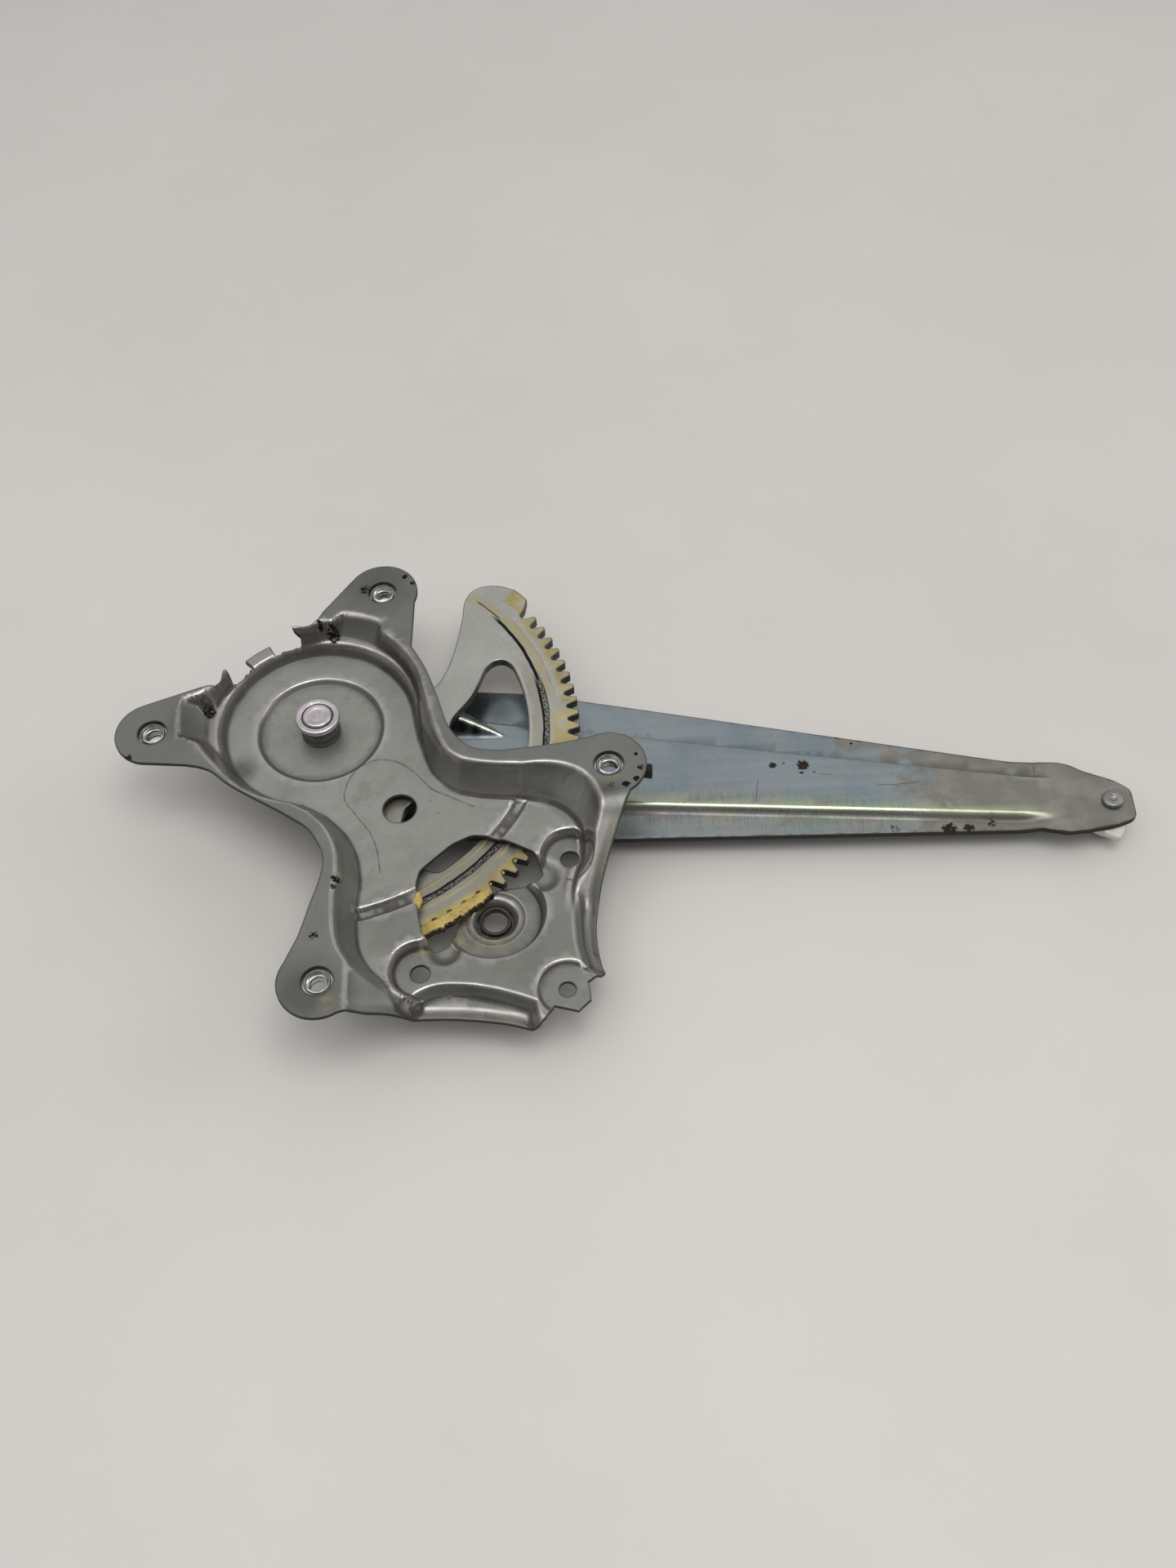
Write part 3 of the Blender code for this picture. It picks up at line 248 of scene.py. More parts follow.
def pressedSheet(outline, holes, level, thickness, detail, guides=()):
    loops = [evenLoop(loop, detail.edge) for loop in [outline, *holes]]
    step, rim, rule = detail.fine, detail.rim, sheetRule

    def within(points):
        found = insideLoop(points, loops[0])
        for hole in loops[1:]:
            found &= ~insideLoop(points, hole)
        return found

    # a grid that is dense where the sheet bends
    low, high = np.min(loops[0], axis=0) - rule.margin, np.max(loops[0], axis=0) + rule.margin
    xs, ys = np.arange(low[0], high[0], step), np.arange(low[1], high[1], step)
    grid = np.stack(np.meshgrid(xs, ys, indexing="ij"), axis=2).reshape(-1, 2)
    heights = level(grid).reshape(len(xs), len(ys))
    around = sum(np.roll(heights, way, axis) for way in (1, -1) for axis in (0, 1))
    bend = (around - 4 * heights) / step**2
    bend[[0, -1]] = 0
    bend[:, [0, -1]] = 0
    wanted = np.abs(bend) > detail.bend
    skip = max(1, round(detail.coarse / step))
    wanted[::skip, ::skip] = True

    toEdge = nearest(np.concatenate(loops))
    inset = []
    for number, loop in enumerate(loops):
        places = np.array(loop)
        inward = outwardOf(places) * (1 if number else -1)
        inset += [spot for share in rule.insets for spot in places + inward * rim * share]
    guides = thinOut(np.reshape(guides, (-1, 2)), rule.guideCell)
    toGuide = nearest([(1e6, 1e6), *guides])
    fill = [spot for spot in grid[wanted.ravel()] if toGuide(spot) > rule.guideClear]
    spots = [spot for spot in inset if toEdge(spot) > rule.insetClear * rim]
    spots = np.array(spots + [spot for spot in [*fill, *guides] if toEdge(spot) > rule.fillClear * rim])
    spots = spots[within(spots)]

    places, edges = [], []
    for loop in loops:
        first = len(places)
        places += [Vector(point) for point in loop]
        edges += [(i, i + 1) for i in range(first, len(places) - 1)] + [(len(places) - 1, first)]
    places += [Vector(spot) for spot in spots]
    flat, _, faces, *_ = delaunay_2d_cdt(places, edges, [], 0, 1e-3)
    flat = np.array([tuple(point) for point in flat])
    corners = np.array([face[:3] for face in faces])
    used, corners = np.unique(corners[within(flat[corners].mean(1))], return_inverse=True)
    flat, corners = flat[used], corners.reshape(-1, 3)
    ways = np.concatenate([corners[:, pair] for pair in ([0, 1], [1, 2], [2, 0])])
    known = set(map(tuple, ways.tolist()))
    sides = [(a, b) for a, b in known if (b, a) not in known]
    onEdge = np.zeros(len(flat), bool)
    onEdge[np.unique(sides)] = True

    # the underside, thicker where the sheet is steep
    steep = np.hypot(*np.gradient(heights, step))
    place = (flat - low) / step
    cell = np.clip(place.astype(int), 0, np.array(steep.shape) - 2)
    (i, j), (u, v) = cell.T, np.clip(place - cell, 0, 1).T
    slope = (steep[i, j] * (1 - v) + steep[i, j + 1] * v) * (1 - u)
    slope = slope + (steep[i + 1, j] * (1 - v) + steep[i + 1, j + 1] * v) * u
    top, count = level(flat), len(flat)
    slant = np.minimum(np.sqrt(1 + slope**2), rule.mostSlant) - 1
    bottom = top - thickness * (1 + detail.slant * slant)
    bottom = np.where(onEdge, bottom + rule.underDrop * detail.drop, bottom)
    edgeTop = np.where(onEdge, top - detail.drop, top)
    points = np.concatenate([np.column_stack([flat, edgeTop]), np.column_stack([flat, bottom])])
    faces = [tuple(face) for face in corners.tolist()]
    faces += [(a + count, c + count, b + count) for a, b, c in faces]
    faces += [(a, a + count, b + count, b) for a, b in sides]

    # masks that the finishes read
    nearEdge = np.array([toEdge(spot) for spot in flat]) < rule.rimReach * rim
    # raw edges and a row beside them darker: partly dirt, partly painted shade
    cut = np.where(onEdge, 1.0, rule.rimDirt * nearEdge)
    reach, compass = rule.reach, ((1, 0), (-1, 0), (0, 1), (0, -1))
    east, west, north, south = (level(flat + np.multiply(way, reach)) for way in compass)
    curl = (east + west + north + south - 4 * top) / reach**2 / detail.curl
    ridge, valley = np.clip(-curl, 0, 1), np.clip(curl, 0, 1)
    wall = shareOf(np.hypot(east - west, north - south) / (2 * reach), rule.wallSlope)
    pairs = {  # upper side and underside
        "wall": (wall, wall),
        "ridge": (ridge, valley * rule.underShare),
        "valley": (valley, ridge * rule.underShare),
        "cut": (cut, onEdge),
    }
    return points, faces, {label: np.concatenate(pair) for label, pair in pairs.items()}, top


def ringMesh(rings, sides=72, place=origin, turn=0.0, closed=True):
    # rings of (radius, level): a radius may also be one value for each side
    points, loops, faces = [], [], []
    turns = np.radians(turn + 360.0 * np.arange(sides) / sides)
    for radius, level in rings:
        if np.ndim(radius) == 0 and radius < 1e-6:
            loops.append([len(points)] * sides)
            points.append((*place, level))
            continue
        loops.append(range(len(points), len(points) + sides))
        reach = np.broadcast_to(radius, sides)
        points += [(place[0] + r * math.cos(t), place[1] + r * math.sin(t), level) for r, t in zip(reach, turns)]
    for lower, upper in zip(loops, loops[1:] + (loops[:1] if closed else [])):
        for i in range(sides):
            j = (i + 1) % sides
            faces.append(tuple(dict.fromkeys([lower[i], lower[j], upper[j], upper[i]])))
    return np.array(points), [face for face in faces if len(face) > 2]


def toWorld(points):
    return np.asarray(points, float) * mm + np.array(pivotPlace)


def meshFrom(name, points, faces, turnOut=False):
    mesh = bpy.data.meshes.new(name)
    mesh.from_pydata([tuple(point) for point in points], [], faces)
    if turnOut:
        shape = bmesh.new()
        shape.from_mesh(mesh)
        bmesh.ops.recalc_face_normals(shape, faces=shape.faces[:])
        shape.to_mesh(mesh)
        shape.free()
    return mesh


def ballMesh(name, subdivisions, radius, move):
    shape = bmesh.new()
    bmesh.ops.create_icosphere(shape, subdivisions=subdivisions, radius=radius)
    for vert in shape.verts:
        vert.co = move(*vert.co)
    mesh = bpy.data.meshes.new(name)
    shape.to_mesh(mesh)
    shape.free()
    return mesh


def soften(mesh, sharp):
    mesh.shade_smooth()
    mesh.set_sharp_from_angle(angle=math.radians(sharp))


def addObject(name, data):
    made = bpy.data.objects.new(name, data)
    scene.collection.objects.link(made)
    return made


def placePiece(name, mesh, finish, body, slotName, nodes, sharp=40.0, masks=None):
    mesh.name = name
    soften(mesh, sharp)
    for label, values in (masks or {}).items():  # the underside has none of a short mask
        values = np.pad(np.asarray(values, np.float32), (0, len(mesh.vertices) - len(values)))
        mesh.attributes.new(label, "FLOAT", "POINT").data.foreach_set("value", values)
    if finish:
        mesh.materials.append(finish)
    piece = addObject(name, mesh)
    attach(piece, body)
    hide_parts(*nodes)
    print(f"{name}: {len(mesh.polygons)} faces on {body}")


def placeShape(name, points, faces, *finished, turnOut=False):
    placePiece(name, meshFrom(name, toWorld(points), faces, turnOut), *finished)


def turnedPiece(
    name, profile, bend, finish, body, slotName, node, steps=2, sides=72, place=origin, sharp=40.0, marks=None
):
    # a profile of (radius, level) turned about a place, closed unless it starts on the axis
    closed = profile[0][0] > 0
    points, faces = ringMesh(roundCorners(profile, bend, steps, closed), sides, place, closed=closed)
    points = marks(points) if marks else points
    placeShape(name, points, faces, finish, body, slotName, [node], sharp, turnOut=True)


# camera, floor and light
view = Values(
    focalPixels=1950.0, framePixels=1920.0, sensor=36.0, clipStart=0.01,
    pitch=55.2, roll=-3.2, distance=457.0, aim=(-10.88, -3.12, 21.9),
)


def setCamera():
    pitch, roll = math.radians(view.pitch), math.radians(view.roll)
    forward = Vector((0, math.cos(pitch), -math.sin(pitch)))
    level = Vector((1, 0, 0))
    upward = level.cross(forward)
    across = level * math.cos(roll) + upward * math.sin(roll)
    upright = upward * math.cos(roll) - level * math.sin(roll)
    pose = Matrix((across, upright, -forward)).transposed().to_4x4()
    pose.translation = (Vector(view.aim) - forward * view.distance) * mm
    lens = bpy.data.cameras.new("photoCamera")
    lens.sensor_fit, lens.sensor_height, lens.clip_start = "VERTICAL", view.sensor, view.clipStart
    lens.lens = lens.sensor_height * view.focalPixels / view.framePixels
    scene.camera = addObject("photoCamera", lens)
    scene.camera.matrix_world = pose


# shader helpers
def plug(value, socket):
    value = getattr(value, "socket", value)
    if isinstance(value, bpy.types.NodeSocket):
        socket.id_data.links.new(value, socket)
    else:
        socket.default_value = (*value, 1.0) if socket.type == "RGBA" else value


def addNode(tree, kind, inputs, **settings):
    made = tree.nodes.new(kind)
    for label, value in settings.items():
        setattr(made, label, value)
    for label, value in inputs.items():
        plug(value, made.inputs[label])
    return made.outputs


class Field:
    # a value in a node tree: a | b is the greater of two, a & b the lesser
    def __init__(self, socket):
        self.socket = socket

    def add(self, kind, inputs, output=0, **settings):
        return Field(addNode(self.socket.id_data, kind, inputs, **settings)[output])

    def reckon(self, operation, *others):
        return self.add("ShaderNodeMath", dict(enumerate((self, *others))), operation=operation)

    def __mul__(self, other):
        return self.reckon("MULTIPLY", other)

    def __add__(self, other):
        return self.reckon("ADD", other)

    def __sub__(self, other):
        return self.reckon("SUBTRACT", other)

    def __or__(self, other):
        return self.reckon("MAXIMUM", other)

    def __and__(self, other):
        return self.reckon("MINIMUM", other)

    def parts(self):
        return [Field(part) for part in addNode(self.socket.id_data, "ShaderNodeSeparateXYZ", {0: self})]

    def mix(self, first, second):
        return self.add("ShaderNodeMix", {0: self, 6: first, 7: second}, 2, data_type="RGBA")

    def spread(self, low, high, start=0.0, end=1.0, kind="SMOOTHSTEP"):
        given = dict(enumerate((self, low, high, start, end)))
        return self.add("ShaderNodeMapRange", given, interpolation_type=kind)

    def straight(self, low, high, start, end):
        return self.spread(low, high, start, end, "LINEAR")

    def band(self, low, high, soft):
        return self.spread(low - soft, low + soft) - self.spread(high - soft, high + soft)

    def ramp(self, steps):
        made = self.add("ShaderNodeValToRGB", {0: self})
        held = made.socket.node.color_ramp.elements
        held[0].position, held[1].position = steps[0][0], steps[-1][0]
        for spot, _ in steps[1:-1]:
            held.new(spot)
        for element, (_, tone) in zip(held, steps):
            element.color = (*tone, 1)
        return made

    def noise(self, scale, detail=3.0, rough=0.55):
        return self.add("ShaderNodeTexNoise", {"Vector": self, "Scale": scale, "Detail": detail, "Roughness": rough})

    def mapped(self, move=(0, 0, 0), turn=0.0, scale=(1, 1, 1)):
        given = {"Vector": self, "Location": move, "Rotation": (0, 0, math.radians(turn)), "Scale": scale}
        return self.add("ShaderNodeMapping", given)

    def mask(self, label):
        return self.add("ShaderNodeAttribute", {}, "Fac", attribute_name=label)

    def grime(self, scale, low, high):
        given = {"Vector": self, "Scale": scale, "Low": low, "High": high}
        return self.add("ShaderNodeGroup", given, "Mask", node_tree=grimeGroup)

    def grain(self, streaks, scale):
        given = {"Vector": self, "Streaks": streaks, "Scale": scale}
        made = addNode(self.socket.id_data, "ShaderNodeGroup", given, node_tree=grainGroup)
        return Field(made["Shade"]), Field(made["Height"])

    # rubbed edges and a painted highlight on convex bends
    def wearAndHighlight(self, strength):
        given = {"Vector": self, "Ridge": self.mask("ridge"), "Strength": strength}
        return self.add("ShaderNodeGroup", given, "Mask", node_tree=wearAndHighlightGroup)

    def patches(self, label):
        # a painted mask with ragged edges and specks round it
        ragged = self.noise(1100.0, 5.0, 0.7).straight(0.3, 0.7, 0.35, 1.6)
        return (self.mask(label) * ragged).spread(0.42, 0.7)


def newTree(kind, name, inputs, outputs):
    tree = bpy.data.node_groups.new(name, kind + "NodeTree")
    for way, sockets in (("INPUT", inputs), ("OUTPUT", outputs)):
        for label, form in sockets.items():
            tree.interface.new_socket(label, in_out=way, socket_type="NodeSocket" + form)
    given = {socket.name: Field(socket) for socket in tree.nodes.new("NodeGroupInput").outputs}
    return tree, given, tree.nodes.new("NodeGroupOutput").inputs


def makeGrimeGroup():
    # cloudy dirt: Low and High set how much of the noise counts
    inputs = {"Vector": "Vector", "Scale": "Float", "Low": "Float", "High": "Float"}
    tree, given, result = newTree("Shader", "grimeField", inputs, {"Mask": "Float"})
    cloud = given["Vector"].noise(given["Scale"], 6.0, 0.62)
    plug(cloud.spread(given["Low"], given["High"]), result["Mask"])
    return tree


def makeGrainGroup():
    # rolled and handled metal: fine pits plus long faint streaks
    inputs = {"Vector": "Vector", "Streaks": "Vector", "Scale": "Float"}
    tree, given, result = newTree("Shader", "metalGrain", inputs, {"Shade": "Float", "Height": "Float"})
    pits = given["Vector"].noise(given["Scale"], 4.0, 0.7)
    plug(pits * 0.55 + given["Streaks"].noise(60.0, 4.0, 0.6) * 0.45, result["Shade"])
    plug(pits, result["Height"])
    return tree


def makeWearAndHighlightGroup():
    # bright rubbed edges and a painted highlight on convex bends, broken up by noise
    inputs = {"Vector": "Vector", "Ridge": "Float", "Strength": "Float"}
    tree, given, result = newTree("Shader", "edgeWearAndHighlight", inputs, {"Mask": "Float"})
    broken = given["Vector"].noise(180.0, 3.0, 0.6).spread(0.3, 0.62, 0.6, 1.0)
    plug(given["Ridge"] * broken * given["Strength"] & 1.0, result["Mask"])
    return tree


grimeGroup, grainGroup, wearAndHighlightGroup = makeGrimeGroup(), makeGrainGroup(), makeWearAndHighlightGroup()


def newFinish(name):
    made = bpy.data.materials.new(name)
    made.use_nodes = True
    return made, Field(addNode(made.node_tree, "ShaderNodeTexCoord", {})["Object"])


def layered(tone, *layers):
    for share, colour in layers:
        tone = share.mix(tone, colour)
    return tone


def endFinish(made, height, strength, distance, inputs):
    bump = height.add("ShaderNodeBump", {"Strength": strength, "Distance": distance, "Height": height})
    shader = made.node_tree.nodes["Principled BSDF"]
    for label, value in {**inputs, "Normal": bump}.items():
        plug(value, shader.inputs[label])
    return made


def makeDullZinc():
    made, place = newFinish("dullZinc")
    shade, height = place.grain(place.mapped(turn=35, scale=(1.2, 3, 1)), 900.0)
    cloud, wornAndHighlight, blotch = place.grime(34.0, 0.34, 0.66), place.wearAndHighlight(0.62), place.patches("smut")
    dirt = place.mask("valley") * cloud.spread(0, 1, 0.85, 0.5)
    dirt = dirt | place.grime(75.0, 0.54, 0.76) * 0.35 | place.grime(520.0, 0.66, 0.75) * 0.6
    # dark lines, the die's and painted shade at the feet of walls and steps, and cut edges darker, partly painted
    # shade
    dirt = dirt | place.mask("scribe") | place.mask("cut") * 0.9
    stain = place.mask("stain") * place.noise(240.0, 5.0).spread(0.36, 0.6)
    tone = layered(
        cloud.mix((0.25, 0.253, 0.23), (0.315, 0.317, 0.291)),
        (shade.spread(0.35, 0.65, 0.0, 0.35), (0.36, 0.363, 0.341)),
        # ears and skirts darker, partly dirt and partly painted shade
        (place.mask("rim") * 0.72, (0.15, 0.154, 0.14)),
        # painted shade: the low panels darker
        (place.mask("low") * 0.6, (0.18, 0.18, 0.16)),
        # painted shade: the dish walls darker
        (place.mask("wall") * 0.6, (0.1, 0.095, 0.102)),
        # painted shade: broad darker patches
        (place.mask("dusk"), (0.075, 0.074, 0.068)),
        # rubbed edges and a painted highlight on convex bends
        (wornAndHighlight, (0.54, 0.505, 0.5)),
        (dirt, (0.03, 0.027, 0.023)),
        (blotch, (0.009, 0.006, 0.004)),
        (stain, place.grime(560.0, 0.42, 0.6).mix((0.16, 0.125, 0.06), (0.3, 0.25, 0.13))),
    )
    cover = dirt | blotch | stain
    inputs = {
        "Base Color": tone,
        "Metallic": cover.straight(0, 1, 0.9, 0.05),
        "Specular IOR Level": cover.straight(0, 1, 0.5, 0.06),
        "Roughness": shade.straight(0.3, 0.7, 0.36, 0.48) + cover * 0.2 - wornAndHighlight * 0.26,
    }
    return endFinish(made, height, 0.18, 0.0001, inputs)


# yellow, green and pink film beside the arm's lower rib
filmTones = [(0.3, (0.2, 0.26, 0.3)), (0.42, (0.22, 0.29, 0.235)), (0.5, (0.29, 0.295, 0.19))]
filmTones += [(0.6, (0.3, 0.255, 0.225)), (0.72, (0.25, 0.25, 0.28))]


def makeBlueZinc():
    made, place = newFinish("blueZinc")
    shade, height = place.grain(place.mapped(turn=8.4, scale=(0.35, 9, 4)), 1100.0)
    cloud, blotch, film = place.grime(40.0, 0.32, 0.68), place.patches("smut"), place.mask("film")
    haze = place.mapped((0.3, 0.2, 0)).grime(100.0, 0.42, 0.66)
    filmTone = place.mapped(scale=(1.4, 2.6, 1)).noise(55.0, 4.0).ramp(filmTones)
    hairs = place.mapped(scale=(2.4, 0.17, 1)).noise(1000.0, 3.0, 0.65).spread(0.44, 0.66)
    dust = place.mask("dust") + place.noise(150.0, 6.0, 0.62).straight(0.2, 0.8, -0.35, 0.35)
    dust = dust.spread(0.3, 0.62)
    dirt = place.mask("valley") * cloud.spread(0, 1, 0.6, 0.3) | place.grime(560.0, 0.66, 0.75) * 0.55
    # cut edges darker, partly painted shade, and dark lines: scratches and painted shade along the rib's north side
    # and the edge
    dirt = dirt | place.mask("cut") | place.mask("scribe")
    tone = layered(
        cloud.mix((0.205, 0.255, 0.3), (0.27, 0.315, 0.35)),
        (haze * 0.4, (0.3, 0.32, 0.3)),
        (film.straight(0, 1, 0.08, 0.8), filmTone),
        (hairs * film.straight(0, 1, 0.06, 0.62), (0.11, 0.15, 0.18)),
        (shade.spread(0.4, 0.66, 0.0, 0.2), (0.4, 0.44, 0.45)),
        (dust * 0.88, haze.mix((0.2, 0.188, 0.158), (0.27, 0.25, 0.212))),
        # rubbed edges and a painted highlight along the rib
        (place.wearAndHighlight(0.5), (0.42, 0.49, 0.31)),
        (dirt, (0.045, 0.038, 0.032)),
        (blotch, (0.02, 0.014, 0.009)),
        (place.mask("shade"), (0.02, 0.022, 0.02)),
    )
    cover = dirt | blotch | dust * 0.25
    inputs = {
        "Base Color": tone,
        "Metallic": cover.straight(0, 1, 0.95, 0.1),
        "Specular IOR Level": cover.straight(0, 1, 0.5, 0.1),
        "Roughness": shade.straight(0.3, 0.7, 0.27, 0.4) + cover * 0.25 - place.mask("polish") * 0.12,
    }
    return endFinish(made, height, 0.14, 0.0001, inputs)


# stripes round the sector: radii and their softness, turns and their softness, strength
gearMarks = Values(
    wash=[(67.4, 70.2, 0.4, 10, 46, 5, 0.85), (65.5, 69.5, 1.0, 43, 54, 3, 0.6)],
    film=[(63.0, 66.0, 0.25, -90, 22, 4, 0.5)],
    scuff=[(65.8, 67.7, 0.2, -69, 15, 3, 1)],
    rub=[(65.6, 66.4, 0.2, -69, 15, 3, 1), (67.45, 67.85, 0.14, -69, 15, 3, 0.85), (66.2, 67.3, 0.2, 13, 39, 2, 1)]
    + [(67.5, 67.9, 0.15, 38, 46.5, 1, 1), (62.75, 62.95, 0.12, -8, 24, 3, 0.4), (70.1, 70.25, 0.1, 8, 36, 4, 0.4)],
    grease=[(68.6, 74.0, 0.7, -14, 4, 2, 0.9), (73.4, 80.0, 0.6, 35, 42.5, 1, 1)],
    greaseLines=[(62.9, 63.55, 0.25, 0.15), (68.65, 69.45, 0.3, 0.1)],
    teeth=(70.8, 72.8),
)


def makeGearSteel():
    made, place = newFinish("gearSteel")
    x, y, _ = place.mapped(tuple(-pivotPlace)).parts()
    radius = (x * x + y * y).reckon("SQRT") * (1 / mm)
    around = y.reckon("ARCTAN2", x) * math.degrees(1)  # degrees about the pivot
    swept = place.add("ShaderNodeCombineXYZ", {0: around * 0.021, 1: radius * 0.03})
    loose = radius + place.noise(160.0, 4.0).straight(0.3, 0.7, -0.45, 0.45)
    steady = radius + swept.noise(6.0).straight(0.3, 0.7, -0.22, 0.22)

    def stripes(measure, label):
        found = measure * 0.0
        for low, high, soft, start, end, fade, share in gearMarks[label]:
            found = found | measure.band(low, high, soft) * around.band(start, end, fade) * share
        return found

    shade, height = place.grain(swept, 800.0)
    cloud, cut = place.grime(60.0, 0.35, 0.65), place.mask("cut")
    speckle = place.noise(300.0, 4.0).spread(0.28, 0.55, 0.35, 1.0)
    scuff = place.noise(1500.0, 3.0, 0.6).spread(0.38, 0.6, 0.35, 0.95)
    rub = stripes(steady, "rub") | stripes(steady, "scuff") * scuff
    grease = stripes(loose, "grease") | loose.spread(*gearMarks.teeth, 0.0, 0.9) * around.spread(33, 36, 1.0, 0.0)
    for low, high, soft, end in gearMarks.greaseLines:
        grease = grease | loose.band(low, high, soft) * around.spread(-20, 10, 0.8, end)
    grease = grease * speckle
    flank = cut * radius.spread(71.0, 73.0)  # tooth sides under old black grease, with painted shade in the gaps
    tone = layered(
        cloud.mix((0.37, 0.372, 0.342), (0.44, 0.44, 0.41)),
        (shade.spread(0.38, 0.62, 0.0, 0.4), (0.5, 0.5, 0.475)),
        # painted shade: the sector darker where it runs under the plate
        (around.spread(-34, -24, 1.0, 0.0) * 0.6, (0.2, 0.19, 0.15)),
        (stripes(loose, "wash") * speckle, (0.42, 0.375, 0.21)),
        (stripes(loose, "film"), (0.27, 0.25, 0.19)),
        (rub, (0.012, 0.011, 0.009)),
        (grease, cloud.mix((0.25, 0.195, 0.065), (0.41, 0.34, 0.13))),
        # rubbed edges and a painted highlight on the sector's edges
        (place.wearAndHighlight(0.4), (0.6, 0.59, 0.56)),
        # grime, and cut edges darker, partly painted shade
        (place.grime(420.0, 0.63, 0.74) * 0.55 | cut * 0.7, (0.075, 0.062, 0.045)),
        (flank, place.grime(600.0, 0.56, 0.7).mix((0.009, 0.006, 0.004), (0.1, 0.07, 0.03))),
    )
    inputs = {
        "Base Color": tone,
        "Metallic": (grease | flank).straight(0, 1, 0.92, 0.12),
        "Roughness": shade.straight(0.3, 0.7, 0.32, 0.46) + rub * 0.2,
    }
    return endFinish(made, height + grease * 1.5, 0.2, 0.0002, inputs)


def makePlainMetal(name, dark, light, rough, metallic, dirtTone, dirtShare):
    made, place = newFinish(name)
    shade, height = place.grain(place.mapped(scale=(3, 3, 30)), 1200.0)
    dirt = place.grime(420.0, 0.56, 0.72) * dirtShare
    tone = layered(
        place.grime(190.0, 0.35, 0.65).mix(dark, light),
        (shade.spread(0.4, 0.66, 0.0, 0.35), tuple(min(1, v * 1.25) for v in light)),
        (dirt, dirtTone),
    )
    inputs = {
        "Base Color": tone,
        "Metallic": dirt.straight(0, 1, metallic, 0.3),
        "Roughness": shade.straight(0.3, 0.7, rough, rough + 0.14),
    }
    return endFinish(made, height, 0.2, 0.0001, inputs)


def makeMoulded(name, dark, light, rough, dirtTone, dirtShare, bump, specular=0.5):
    made, place = newFinish(name)
    pits = place.noise(1500.0)
    tone = place.grime(120.0, 0.3, 0.7).mix(dark, light)
    inputs = {
        "Base Color": (place.grime(300.0, 0.5, 0.72) * dirtShare).mix(tone, dirtTone),
        "Roughness": pits.straight(0.3, 0.7, rough - 0.06, rough + 0.1),
        "Specular IOR Level": specular,
    }
    return endFinish(made, pits, bump, 0.0002, inputs)


def makeGrease():
    made, place = newFinish("grease")
    tone = layered(
        place.grime(220.0, 0.32, 0.68).mix((0.33, 0.225, 0.045), (0.48, 0.365, 0.11)),
        (place.grime(500.0, 0.56, 0.72), (0.12, 0.08, 0.025)),
        (place.patches("smut"), (0.035, 0.024, 0.012)),
    )
    return endFinish(made, place.noise(900.0, 4.0), 0.4, 0.0003, {"Base Color": tone, "Roughness": 0.34})


def makeFloorTone():
    made, place = newFinish("paleFloor")
    tone = place.grime(3.0, 0.3, 0.7).mix((0.565, 0.547, 0.523), (0.615, 0.596, 0.572))
    endFinish(made, place.noise(700.0), 0.06, 0.0003, {"Base Color": tone, "Roughness": 0.62})
    tree = made.node_tree
    behind = addNode(tree, "ShaderNodeNewGeometry", {})["Backfacing"]
    clear = addNode(tree, "ShaderNodeBsdfTransparent", {})[0]  # open from below
    mixed = addNode(tree, "ShaderNodeMixShader", {0: behind, 1: tree.nodes["Principled BSDF"].outputs[0], 2: clear})
    plug(mixed[0], tree.nodes["Material Output"].inputs["Surface"])
    return made


dullZinc, blueZinc, gearSteel = makeDullZinc(), makeBlueZinc(), makeGearSteel()
# dark and light tone, roughness, metallic share, then tone and share of the dirt
brightZinc = makePlainMetal("brightZinc", (0.42, 0.42, 0.42), (0.6, 0.6, 0.59), 0.24, 1.0, (0.14, 0.12, 0.09), 0.6)
collarZinc = makePlainMetal("collarZinc", (0.44, 0.4, 0.42), (0.58, 0.54, 0.56), 0.3, 1.0, (0.16, 0.13, 0.12), 0.5)
darkSteel = makePlainMetal(
    "darkSteel", (0.07, 0.068, 0.066), (0.13, 0.125, 0.12), 0.34, 0.85, (0.05, 0.04, 0.03), 0.5
)
studZinc = makePlainMetal("studZinc", (0.2, 0.2, 0.192), (0.31, 0.308, 0.295), 0.3, 1.0, (0.06, 0.055, 0.045), 0.7)
# dark and light tone, roughness, tone and share of the dirt, depth of the grain, then specular level where it is low
nylon = makeMoulded("nylon", (0.6, 0.585, 0.54), (0.7, 0.69, 0.645), 0.42, (0.3, 0.27, 0.21), 0.5, 0.15)
rubber = makeMoulded("rubber", (0.01, 0.01, 0.01), (0.022, 0.022, 0.021), 0.66, (0.06, 0.055, 0.05), 0.4, 0.4, 0.2)
blackPlastic = makeMoulded(
    "blackPlastic", (0.012, 0.011, 0.01), (0.026, 0.024, 0.022), 0.4, (0.1, 0.08, 0.04), 0.4, 0.2
)
grease = makeGrease()
print("finishes ready:", len(bpy.data.materials))

light = Values(
    # height of the sky against its brightness, then what the north adds and the south takes away
    sky=[(0.0, 0.13), (0.25, 0.24), (0.55, 0.42), (0.82, 0.55), (1.0, 0.68)],
    north=0.34, south=0.3, least=0.03, sides=0.16,
    backdrop=0.6,  # what the camera sees behind the floor
    floorHalf=2.5, floorLevel=-2e-4, aim=(0, 0, 0.01),
    # place, size, power and tone of each lamp
    lamps={
        "key": ((0.14, -0.22, 1.18), 0.6, 5.2, (1.0, 0.985, 0.965)),
        "side": ((1.05, 0.1, 0.66), 0.5, 1.6, (1.0, 0.98, 0.95)),
        "fill": ((-0.5, -0.2, 1.0), 0.8, 2.2, (1.0, 0.99, 0.98)),
    },
)


